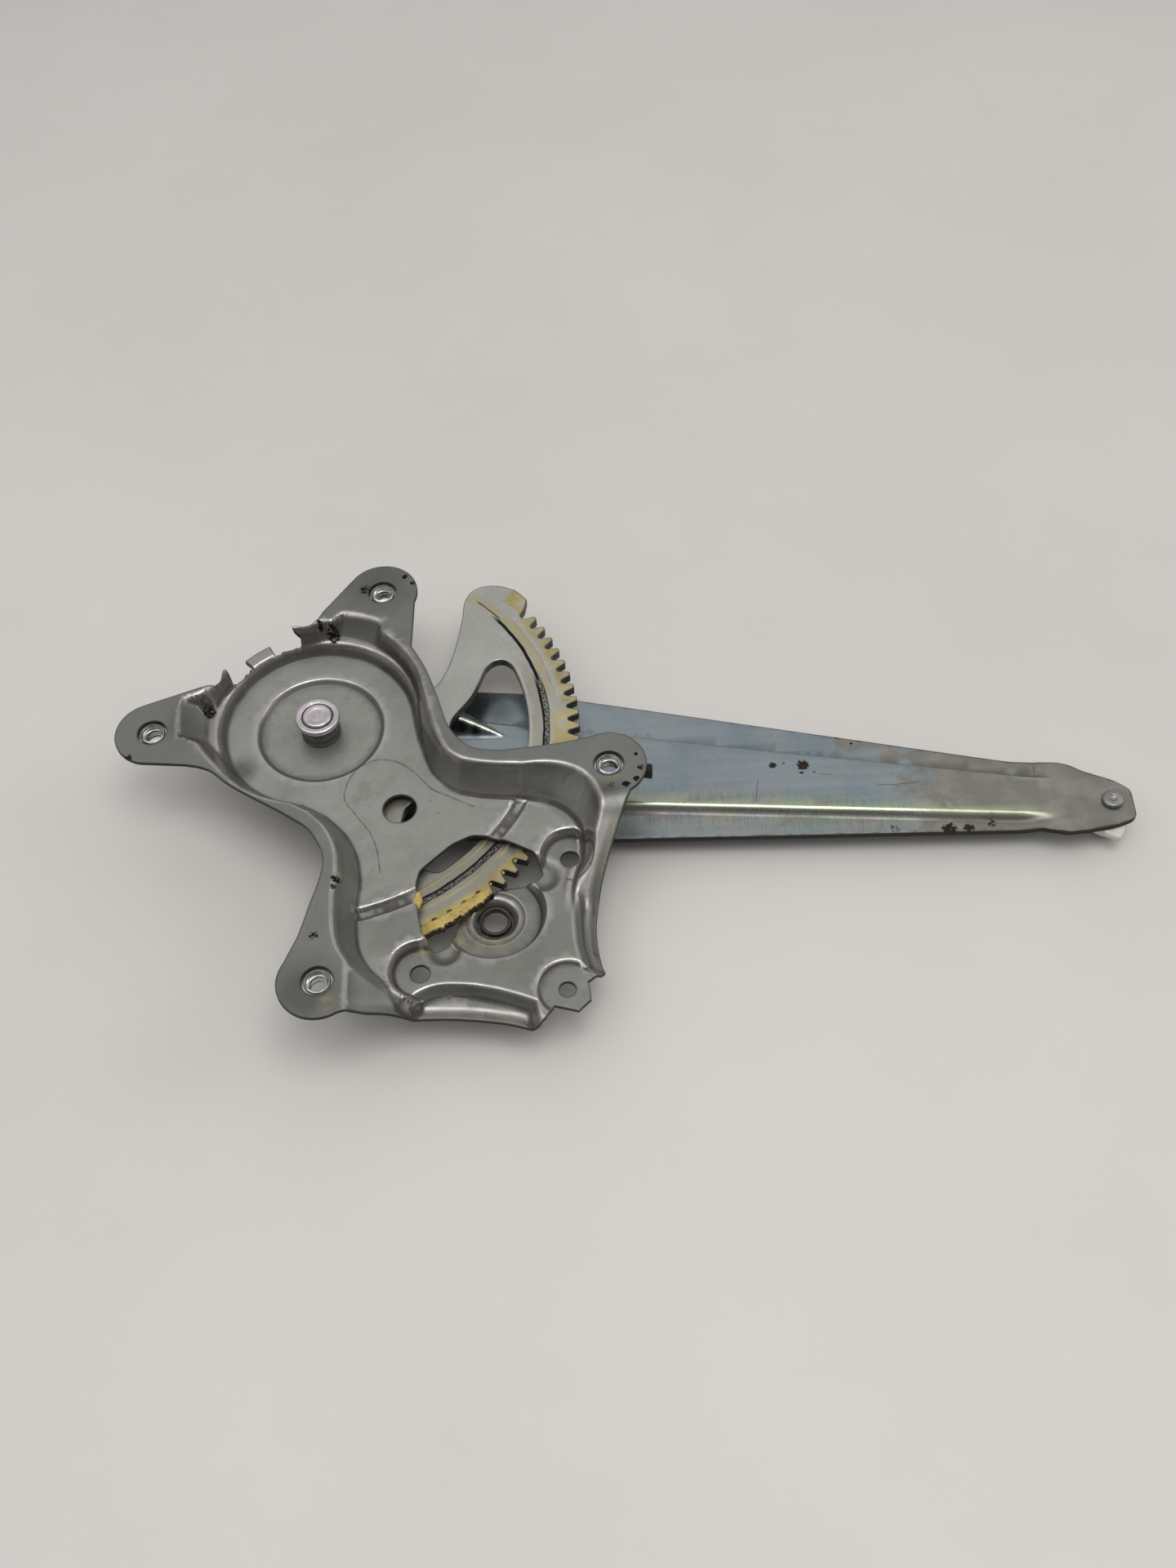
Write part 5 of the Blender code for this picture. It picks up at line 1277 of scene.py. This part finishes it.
def armLevel(points):
    x, y = points.T
    start, end = arm.tipRise
    toTip = softRamp((arm.stud[0] - x - start) / (end - start), 0.2)
    flange = arm.flangeTop + (arm.ribTop - arm.flangeTop) * toTip
    level = flange + (arm.ribTop - flange) * softRamp(1 - loopDistance(points, ribEdge) / ribRun(points), 0.3)
    level = level + (arm.bossTop - level) * softRamp(1 - loopDistance(points, bossEdge) / arm.bossSlope, 0.25)
    rise = ridgeRise(points)
    level = np.where(rise > 0, np.maximum(level, arm.ribTop + rise), level)
    return level + arm.wave * np.sin(x * 0.19) * np.sin(y * 0.33 + 0.4)


def makeArm():
    holes = [circle(origin, pinBore), circle(arm.stud, arm.studBore, 36), *rivetHoles]
    bends = (-0.3, 0.0, 0.3, 0.5, 0.7, 1.0, 1.3)
    guides = offsetGuides(ribEdge, bends, ribRun, 1.2) + offsetGuides(bossEdge, bends, arm.bossSlope, 1.0)
    guides += [(x, y) for x in np.arange(26, 56, 0.6) for y in np.arange(-2.5, 18, 0.6)]  # over the ridge
    guides += sum(map(lineGuides, arm.scratches), spotGuides(arm.smuts))
    points, faces, masks, top = pressedSheet(armOutline(), holes, armLevel, arm.sheet, arm.detail, guides)
    flat = points[: len(top), :2]
    x, y = flat.T
    ridge = masks["ridge"][: len(top)]
    north = northShare(flat) * between(x, *arm.dullRib)
    ridge *= 1 - 0.85 * north  # the rib's north side gets little of the rubbed edge and painted highlight
    broken = 0.6 + 0.4 * np.sin(x * 0.9 + 2 * np.sin(x * 0.37 + y))
    lines = [0.7 * np.clip(1 - lineDistance(flat, line) / arm.scratchWidth, 0, 1) for line in arm.scratches]
    # painted shade: a dark line along the rib's north foot
    lines.append(0.95 * north * np.clip(1.3 - np.abs(loopDistance(flat, ribEdge) - 0.9) / 0.35, 0, 1))
    # painted shade: a dark line along the arm's edge
    lines.append(broken * np.clip(1.3 + loopDistance(flat, armOutline()) / 0.5, 0, 1))
    film = np.clip(1.15 - np.abs(y + 17.6 + 0.096 * x) / arm.filmHalf, 0, 1)
    masks["film"] = film * between(x, *arm.filmReach)
    masks["dust"] = np.maximum(spotted(flat, arm.dusts), 0.85 * shareOf(x, arm.dustReach))
    masks["smut"], masks["shade"] = spotted(flat, arm.smuts), spotted(flat, arm.shades)
    masks["polish"] = shareOf(-x, arm.polishReach) + 0.6 * ridge
    masks["scribe"] = np.max(lines, axis=0)
    placeShape("liftArm", points, faces, blueZinc, "arm", "blue_zinc", ["lift_arm"], 48, masks)


makeArm()


# repeated pieces, made with Geometry Nodes
def newSetTree(name, **inputs):
    inputs = {"Places": "Geometry", "Form": "Object", "Finish": "Material", **inputs}
    tree, given, result = newTree("Geometry", name, inputs, {"Pieces": "Geometry"})
    return tree, given, result, addNode(tree, "GeometryNodeObjectInfo", {"Object": given["Form"]})["Geometry"]


def endSet(tree, given, result, form, **turned):
    setOn = addNode(tree, "GeometryNodeInstanceOnPoints", {"Points": given["Places"], "Instance": form, **turned})
    real = addNode(tree, "GeometryNodeRealizeInstances", {0: setOn[0]})
    coat = addNode(tree, "GeometryNodeSetMaterial", {"Geometry": real[0], "Material": given["Finish"]})
    plug(coat[0], result["Pieces"])
    return tree


def makeThreadedSet():
    # a form with a thread ridge wound inside it, set on every place
    labels = ("Thread Radius", "Thread Pitch", "Thread Turns", "Thread Depth", "Thread Base")
    tree, given, result, form = newSetTree("threadedSet", **dict.fromkeys(labels, "Float"))
    radius, pitch, turns, depth, base = (given[label] for label in labels)
    size = {"Start Radius": radius, "End Radius": radius, "Height": pitch * turns}
    spiral = addNode(tree, "GeometryNodeCurveSpiral", {"Resolution": 36, "Rotations": turns, **size})
    ridge = addNode(tree, "GeometryNodeCurvePrimitiveCircle", {"Resolution": 4, "Radius": depth})
    wound = {"Curve": spiral[0], "Profile Curve": ridge[0], "Fill Caps": True}
    thread = addNode(tree, "GeometryNodeCurveToMesh", wound)
    lift = addNode(tree, "ShaderNodeCombineXYZ", {2: base})
    moved = addNode(tree, "GeometryNodeTransform", {"Geometry": thread[0], "Translation": lift[0]})
    joined = addNode(tree, "GeometryNodeJoinGeometry", {0: form})[0]
    plug(moved[0], joined.node.inputs[0])
    return endSet(tree, given, result, joined)


def makeScatteredSet():
    # a form set on every place, turned and sized at random from a fixed seed
    sizes = {"Least Size": "Float", "Most Size": "Float", "Seed": "Int"}
    tree, given, result, form = newSetTree("scatteredSet", **sizes)
    least, most, seed = (given[label] for label in sizes)
    size = addNode(tree, "FunctionNodeRandomValue", {2: least, 3: most, 8: seed})
    turn = {0: (0, 0, 0), 1: (0, 0, 6.28), 8: seed}
    turn = addNode(tree, "FunctionNodeRandomValue", turn, data_type="FLOAT_VECTOR")
    return endSet(tree, given, result, form, Rotation=turn[0], Scale=size[1])


def setOnPlaces(name, places, form, tree, values):
    keys = {item.name: item.identifier for item in tree.interface.items_tree}
    holder = addObject(name + "Places", meshFrom(name + "Places", toWorld(places), []))
    model = addObject(name + "Form", form)
    soften(form, 38)
    nodes = holder.modifiers.new("set", "NODES")
    nodes.node_group = tree
    for label, value in {"Form": model, **values}.items():
        nodes[keys[label]] = value
    mesh = bpy.data.meshes.new_from_object(holder.evaluated_get(bpy.context.evaluated_depsgraph_get()))
    holder.modifiers.remove(nodes)
    for helper in (holder, model):
        bpy.data.objects.remove(helper)
    return mesh


threadedSet, scatteredSet = makeThreadedSet(), makeScatteredSet()

nut = Values(
    acrossFlats=10.0, height=5.0, pilot=3.6, setBack=0.6, mouth=3.1, bore=2.95, chamfer=0.5, edge=0.25,
    pitch=1.0, depth=0.45, turns=5.4, threadLift=0.3,
)


def makeWeldNuts():
    top = plate.earRise - plate.sheet - gap
    bottom, pilotTop = top - nut.height, plate.earRise - nut.setBack
    sides, flat = 72, math.radians(30)
    turns = np.radians(360.0 * np.arange(sides) / sides)
    hexagon = nut.acrossFlats / 2 / np.cos((turns % (2 * flat)) - flat)
    chamfer, edge = nut.chamfer, nut.edge
    trimmed = np.minimum(hexagon, nut.acrossFlats / 2 + edge)
    rings = [(nut.bore, pilotTop - chamfer), (nut.bore, bottom + chamfer), (nut.mouth + 0.3, bottom)]
    rings += [(trimmed - 0.1, bottom), (hexagon, bottom + chamfer), (hexagon, top - chamfer)]
    rings += [(trimmed, top), (nut.pilot, top), (nut.pilot, pilotTop - edge), (nut.pilot - edge, pilotTop)]
    rings.append((nut.mouth + 0.15, pilotTop))
    points, faces = ringMesh(rings, sides)
    form = meshFrom("weldNut", points * mm, faces, True)
    values = {
        "Finish": brightZinc,
        "Thread Radius": (nut.bore + 0.02) * mm,
        "Thread Pitch": nut.pitch * mm,
        "Thread Turns": nut.turns,
        "Thread Depth": nut.depth * mm,
        "Thread Base": (bottom + nut.threadLift) * mm,
    }
    places = [(*ear, 0.0) for ear in plate.ears.values()]
    mesh = setOnPlaces("weldNuts", places, form, threadedSet, values)
    placePiece("weldNuts", mesh, None, "base", "bright_zinc", ["weld_nut_" + name for name in plate.ears])


def makeRivets():
    seat, flush = arm.bossTop - arm.sheet - gap, sector.top - 0.1
    low = seat - rivet.headHeight
    profile = [(0.0, low), (rivet.headFlat - 0.5, low + 0.06), (rivet.headFlat + 0.35, low + 0.4)]
    profile += [(rivet.head, seat - rivet.headHeight / 2), (rivet.head, seat), (rivet.shank, seat)]
    profile += [(rivet.shank, flush), (1.2, flush), (0.9, flush - 0.25), (0.0, flush - 0.3)]
    points, faces = ringMesh(roundCorners(profile, 0.25, 2, False), 40, closed=False)
    form = meshFrom("armRivet", points * mm, faces, True)
    values = {"Finish": brightZinc, "Least Size": 1.0, "Most Size": 1.0, "Seed": 3}
    mesh = setOnPlaces("armRivets", [(*place, 0.0) for place in rivetPlaces], form, scatteredSet, values)
    placePiece("armRivets", mesh, None, "arm", "bright_zinc", ["arm_rivet_1", "arm_rivet_2", "arm_rivet_3"])


makeWeldNuts()
makeRivets()

# pivot: bush, pin, ring and the washer behind the arm
pivotSet = Values(
    bush=5.8, spigot=4.9, bushTop=4.3, ring=6.5, ringHeight=1.9,
    washer=8.4, washerHeight=1.2, pin=4.0, neck=3.3, end=4.2, head=6.8, headHeight=2.2,
    # hammer dents: how many, how far out, how wide and how strong
    dentCount=14, dentReach=(0.5, 6.0), dentSize=(0.7, 1.5), dentStrength=(0.3, 1.0),
)


def dented(points, above, depth, seed):
    # small hammer dents on what lies above a level
    marks = np.random.default_rng(seed)
    moved = points.copy()
    for _ in range(pivotSet.dentCount):
        centre = polar(marks.uniform(*pivotSet.dentReach), marks.uniform(0, 360))
        near = np.clip(1 - distanceTo(points, centre) / marks.uniform(*pivotSet.dentSize), 0, 1)
        moved[:, 2] -= depth * marks.uniform(*pivotSet.dentStrength) * near**2
    return np.where(points[:, 2:3] > above, moved, points)


def makePivot():
    outer, spigot, bushTop = pivotSet.bush, pivotSet.spigot, pivotSet.bushTop
    discTop, spigotEnd = -plate.discDepth + gap, -plate.discDepth - plate.sheet
    bush = [(pinBore, spigotEnd), (spigot, spigotEnd), (spigot, discTop), (outer, discTop), (outer, 0.4)]
    bush += [(outer - 0.25, 0.8), (outer - 0.25, 1.3), (outer, 1.7), (outer, bushTop), (pinBore, bushTop)]
    turnedPiece("pivotBush", bush, 0.25, darkSteel, "base", "dark_steel", "pivot_bush")
    low, edge, neck, end = bushTop + gap, pivotSet.ring, pivotSet.neck, pivotSet.end
    high, seat = low + pivotSet.ringHeight, low + pivotSet.ringHeight / 2
    ring = [(neck + gap, low), (edge - 0.4, low), (edge, low + 0.45), (edge, high - 0.35), (edge - 0.45, high)]
    ring += [(5.4, high - 0.04), (end + gap + 0.15, high - 0.18), (end + gap, seat), (neck + gap, seat)]
    turnedPiece(
        "pivotRing", ring, 0.3, collarZinc, "arm", "bright_zinc", "pivot_washer", steps=3, sides=96, sharp=50,
        marks=lambda points: dented(points, seat + 0.4, 0.22, 5),
    )
    backTop = arm.bossTop - arm.sheet - gap
    backLow = backTop - pivotSet.washerHeight
    washer = [(pinBore, backLow), (pivotSet.washer, backLow), (pivotSet.washer, backTop), (pinBore, backTop)]
    turnedPiece("backWasher", washer, 0.2, brightZinc, "arm", "bright_zinc", "back_washer")
    shank, head, headTop, endLow = pivotSet.pin, pivotSet.head, backLow - gap, seat + gap
    headLow = headTop - pivotSet.headHeight
    pin = [(0.0, headLow), (head - 1, headLow), (head, headLow + 1), (head, headTop), (shank, headTop)]
    pin += [(shank, bushTop), (neck, bushTop), (neck, endLow), (end, endLow), (end, endLow + 0.55)]
    peened = [(3.85, 0.86), (3.2, 0.9), (2.6, 0.78), (2.2, 0.66), (0.9, 0.7), (0.0, 0.72)]
    pin += [(radius, endLow + rise) for radius, rise in peened]
    turnedPiece(
        "pivotPin", pin, 0.2, collarZinc, "arm", "bright_zinc", "pivot_pin", steps=3, sides=96, sharp=50,
        marks=lambda points: dented(points, endLow + 0.6, 0.16, 9),
    )


makePivot()

# stud and guide shoe at the tip
stud = Values(shank=2.0, head=3.1, headHeight=1.2, dimple=0.85, shoulder=2.6, end=3.2, endHeight=0.9)
shoe = Values(
    height=8.6, turn=61.0, halfWidth=6.1, reach=9.8, corner=1.2, flange=2.6, neck=4.3, button=6.0, buttonHeight=3.6,
    pocket=4.6, pocketHeight=2.9, washer=4.2, washerBore=2.3, washerHeight=1.0,
)
shoeTop = arm.ribTop - arm.sheet - gap
shoeBottom = shoeTop - shoe.height
pocketTop = shoeBottom + shoe.pocketHeight


def makeStud():
    headLow = arm.ribTop + gap
    high, seat = headLow + stud.headHeight, pocketTop - gap
    endTop = seat - shoe.washerHeight - gap
    low = endTop - stud.endHeight
    profile = [(0.0, low), (stud.end - 0.5, low), (stud.end, endTop - stud.endHeight / 2), (stud.end, endTop)]
    profile += [(stud.shank, endTop), (stud.shank, seat + gap), (stud.shoulder, seat + gap), (stud.shoulder, shoeTop)]
    profile += [(stud.shank, shoeTop), (stud.shank, headLow), (stud.head, headLow), (stud.head, high - 0.6)]
    profile += [(stud.head - 0.5, high - 0.12), (1.6, high), (stud.dimple + 0.25, high - 0.06)]
    profile += [(stud.dimple, high - 0.3), (0.45, high - 0.5), (0.0, high - 0.46)]
    shape = dict(steps=3, sides=64, place=arm.stud)
    turnedPiece("rollerStud", profile, 0.18, studZinc, "arm", "bright_zinc", "roller_stud", **shape)


def shoeReach(sides):
    # distance from the stud to the shoe's edge: round one way, square the other
    side, end, corner = shoe.halfWidth, shoe.reach, shoe.corner
    reach = []
    for turn in 2 * math.pi * np.arange(sides) / sides:
        x, y = -math.cos(turn), abs(math.sin(turn))
        far = side if x <= 0 else min(end / x, side / max(y, 1e-6))
        cx, cy = end - corner, side - corner
        if far * x > cx and far * y > cy:  # rounded corner
            along = x * cx + y * cy
            far = along + math.sqrt(max(0, corner**2 - (cx**2 + cy**2 - along**2)))
        reach.append(far)
    return np.array(reach)


def makeShoe():
    sides, neck, button, pocket = 120, shoe.neck, shoe.button, shoe.pocket
    edge, bore = shoeReach(sides), stud.shoulder + gap
    under, buttonTop = shoeTop - shoe.flange, shoeBottom + shoe.buttonHeight
    rings = [(bore, shoeTop - 0.4), (bore + 0.4, shoeTop), (edge - 1.4, shoeTop), (edge - 0.5, shoeTop - 0.06)]
    rings += [(edge - 0.12, shoeTop - 0.35), (edge, shoeTop - 0.8), (edge, under + 0.6), (edge - 0.15, under + 0.2)]
    rings += [(edge - 0.5, under), (neck + 0.6, under), (neck + 0.15, under - 0.2), (neck, under - 0.6)]
    rings += [(neck, buttonTop + 0.5), (neck + 0.2, buttonTop + 0.1), (neck + 0.6, buttonTop)]
    rings += [(button - 0.6, buttonTop), (button - 0.15, buttonTop - 0.2), (button, buttonTop - 0.7)]
    rings += [(button, shoeBottom + 0.7), (button - 0.2, shoeBottom + 0.2), (button - 0.6, shoeBottom)]
    rings += [(pocket + 0.3, shoeBottom), (pocket, shoeBottom + 0.3), (pocket, pocketTop), (bore, pocketTop)]
    points, faces = ringMesh(rings, sides, arm.stud, shoe.turn)
    placeShape("guideShoe", points, faces, nylon, "shoe", "nylon", ["guide_shoe"], 50, turnOut=True)
    inner, outer, high = shoe.washerBore, shoe.washer, pocketTop - gap
    low = high - shoe.washerHeight
    washer = [(inner, low), (outer, low), (outer, high), (inner, high)]
    turnedPiece("shoeWasher", washer, 0.2, brightZinc, "shoe", "bright_zinc", "shoe_washer", sides=48, place=arm.stud)


makeStud()
makeShoe()

# rubber stop behind the right ear, and the ring in the pinion hole
bumper = Values(
    inner=6.6, overhang=1.6, turns=(-14.0, 36.0), nubEnd=3.0, tuck=1.2, height=3.4, round=1.5, corner=0.8,
    detail=Values(edge=0.5, fine=0.4, coarse=0.8, bend=0.2, rim=0.2, drop=0.1, slant=0.0, curl=1.0),
)
pinionRing = Values(wall=1.1, low=-10.4)


def makeBumper():
    centre, radius = plate.ears["right"], bumper.round
    start, end = bumper.turns
    loop = arc(centre, plate.earRadius + bumper.overhang, start, bumper.nubEnd)
    loop += arc(centre, plate.earRadius - bumper.tuck, bumper.nubEnd + 3, end) + arc(centre, bumper.inner, end, start)
    outline = roundCorners(loop, bumper.corner)
    top = plate.earRise - plate.sheet - gap

    def level(points):
        inward = np.clip(-loopDistance(points, outline), 0, radius)
        return top - radius + np.sqrt(np.maximum(0, radius**2 - (radius - inward) ** 2))

    points, faces, *_ = pressedSheet(outline, [], level, bumper.height - radius, bumper.detail)
    placeShape("stopBumper", points, faces, rubber, "base", "rubber", ["stop_bumper"], 50)


def makePinionRing():
    outer = plate.pinionHole - gap
    inner, low = outer - pinionRing.wall, pinionRing.low + gap
    high = plate.recessFloor - plate.ringStep - plate.burrDepth + gap
    ring = [(inner, low), (outer, low), (outer, high), (outer - 0.2, high + 0.3)]
    ring += [(inner + 0.25, high + 0.3), (inner, high - 0.15)]
    shape = dict(sides=64, place=plate.pinion)
    turnedPiece("pinionRing", ring, 0.15, blackPlastic, "base", "black_plastic", "pinion_bush", **shape)


makeBumper()
makePinionRing()

# grease: a lumpy band over the teeth, crumbs in the clear gaps and a blob at the window's edge
greasy = Values(
    bandTurns=(-71.0, -49.2), bandCount=150, bandInner=73.5, bandOuter=77.0, bandRise=0.3, bandDepth=2.9,
    bandWaves=[(1.0, 2.1), (0.6, 5.3), (0.4, 11.0)],  # size and rate of the lumps along the band
    seed=11, gapTurns=(-51.0, -22.0),
    # crumbs in each gap, their sizes and form, then how far out, aside and down they lie
    crumbs=2, least=0.3, most=0.7, crumbForm=(1.35, 1.0, 0.5),
    crumbOut=(-0.15, 0.35), crumbAside=(-0.35, 0.35), crumbDown=(0.5, 2.2),
    blobPlace=(29.5, -60.7, -0.75), blobSize=(1.35, 2.8, 1.15),
    # across the band: share of its width, of its rise, of its full section and of its depth, dirt
    section=[
        (0.0, 0.0, 0.35, 0.0, 0.2), (0.08, 0.5, 0.0, 0.0, 0.0), (0.3, 1.0, 0.0, 0.0, 0.0), (0.55, 0.8, 0.0, 0.0, 0.0),
        (0.8, 1.1, 0.0, 0.0, 0.3), (0.94, 0.2, 0.0, 0.0, 0.75), (1.0, 0.0, 0.6, 0.0, 1.0), (0.9, 0.0, 0.0, 1.0, 1.0),
        (0.5, 0.0, 0.0, 1.0, 1.0), (0.14, 0.0, 0.0, 0.8, 0.6),
    ],
)


def makeGreaseBand():
    count, sides = greasy.bandCount, len(greasy.section)
    phase = np.random.default_rng(greasy.seed).uniform(0, 6.28, 8)
    middle = (greasy.bandInner + greasy.bandOuter) / 2
    points, faces = [], []
    for number, turn in enumerate(np.linspace(*greasy.bandTurns, count)):
        full = math.sqrt(max(0.0, 1 - abs(2 * number / (count - 1) - 1) ** 14))
        wave = sum(size * math.sin(turn * rate + start) for (size, rate), start in zip(greasy.bandWaves, phase))
        drip = max(0.0, math.sin(turn * 1.3 + phase[3])) ** 6 * 0.9
        inner = middle + (greasy.bandInner + 0.1 * wave - middle) * full
        outer = middle + (greasy.bandOuter + 0.12 * wave + 0.6 * drip - middle) * full
        rise = (greasy.bandRise + 0.1 * math.sin(turn * 3.7 + phase[4])) * full
        for across, up, sag, down, _ in greasy.section:
            level = sector.top + up * rise - (sag + down * greasy.bandDepth) * full
            points.append((*polar(inner + across * (outer - inner), turn), level))
    for first in range(0, (count - 1) * sides, sides):
        for i in range(sides):
            j = (i + 1) % sides
            faces.append((first + i, first + j, first + sides + j, first + sides + i))
    faces += [tuple(range(sides)), tuple(range((count - 1) * sides, count * sides))]
    dirty = [row[4] for row in greasy.section] * count
    placeShape("greaseBand", points, faces, grease, "arm", "gear_steel", [], 70, {"smut": dirty}, turnOut=True)


def makeGreaseCrumbs():
    scatter = np.random.default_rng(greasy.seed)
    first, last = greasy.gapTurns
    places = []
    for tooth in range(sector.teeth):
        turn = sector.firstTooth - sector.pitch * (tooth + 0.5)
        for _ in range(greasy.crumbs if first <= turn <= last else 0):
            reach = sector.rootRadius + scatter.uniform(*greasy.crumbOut)
            spot = polar(reach, turn + scatter.uniform(*greasy.crumbAside))
            places.append((*spot, sector.top - scatter.uniform(*greasy.crumbDown)))
    form = ballMesh("greaseCrumb", 2, 1.0 * mm, lambda *place: np.multiply(place, greasy.crumbForm))
    values = {"Finish": grease, "Least Size": greasy.least, "Most Size": greasy.most, "Seed": greasy.seed}
    mesh = setOnPlaces("greaseCrumbs", places, form, scatteredSet, values)
    placePiece("greaseCrumbs", mesh, None, "arm", "gear_steel", [], 180)


def makeGreaseBlob():
    # pressed out against the window's left edge, so it stays with the plate
    long, wide, high = greasy.blobSize

    def lumpy(x, y, z):
        lump = 1 + 0.1 * math.sin(3.1 * x + 2.3 * y) + 0.07 * math.sin(5.2 * y + 1.7 * z + 1.0)
        flat = 1 - 0.25 * max(0.0, z) ** 2
        return (x * lump * long + 0.25 * y, y * lump * wide, z * lump * flat * high)

    mesh = ballMesh("greaseBlob", 4, 1.0, lumpy)
    places = np.array([tuple(vert.co) for vert in mesh.vertices]) + np.array(greasy.blobPlace)
    mesh.vertices.foreach_set("co", toWorld(places).ravel())
    placePiece("greaseBlob", mesh, grease, "base", "gear_steel", [], 180)


makeGreaseBand()
makeGreaseCrumbs()
makeGreaseBlob()

bpy.context.view_layer.update()
print("pieces done")
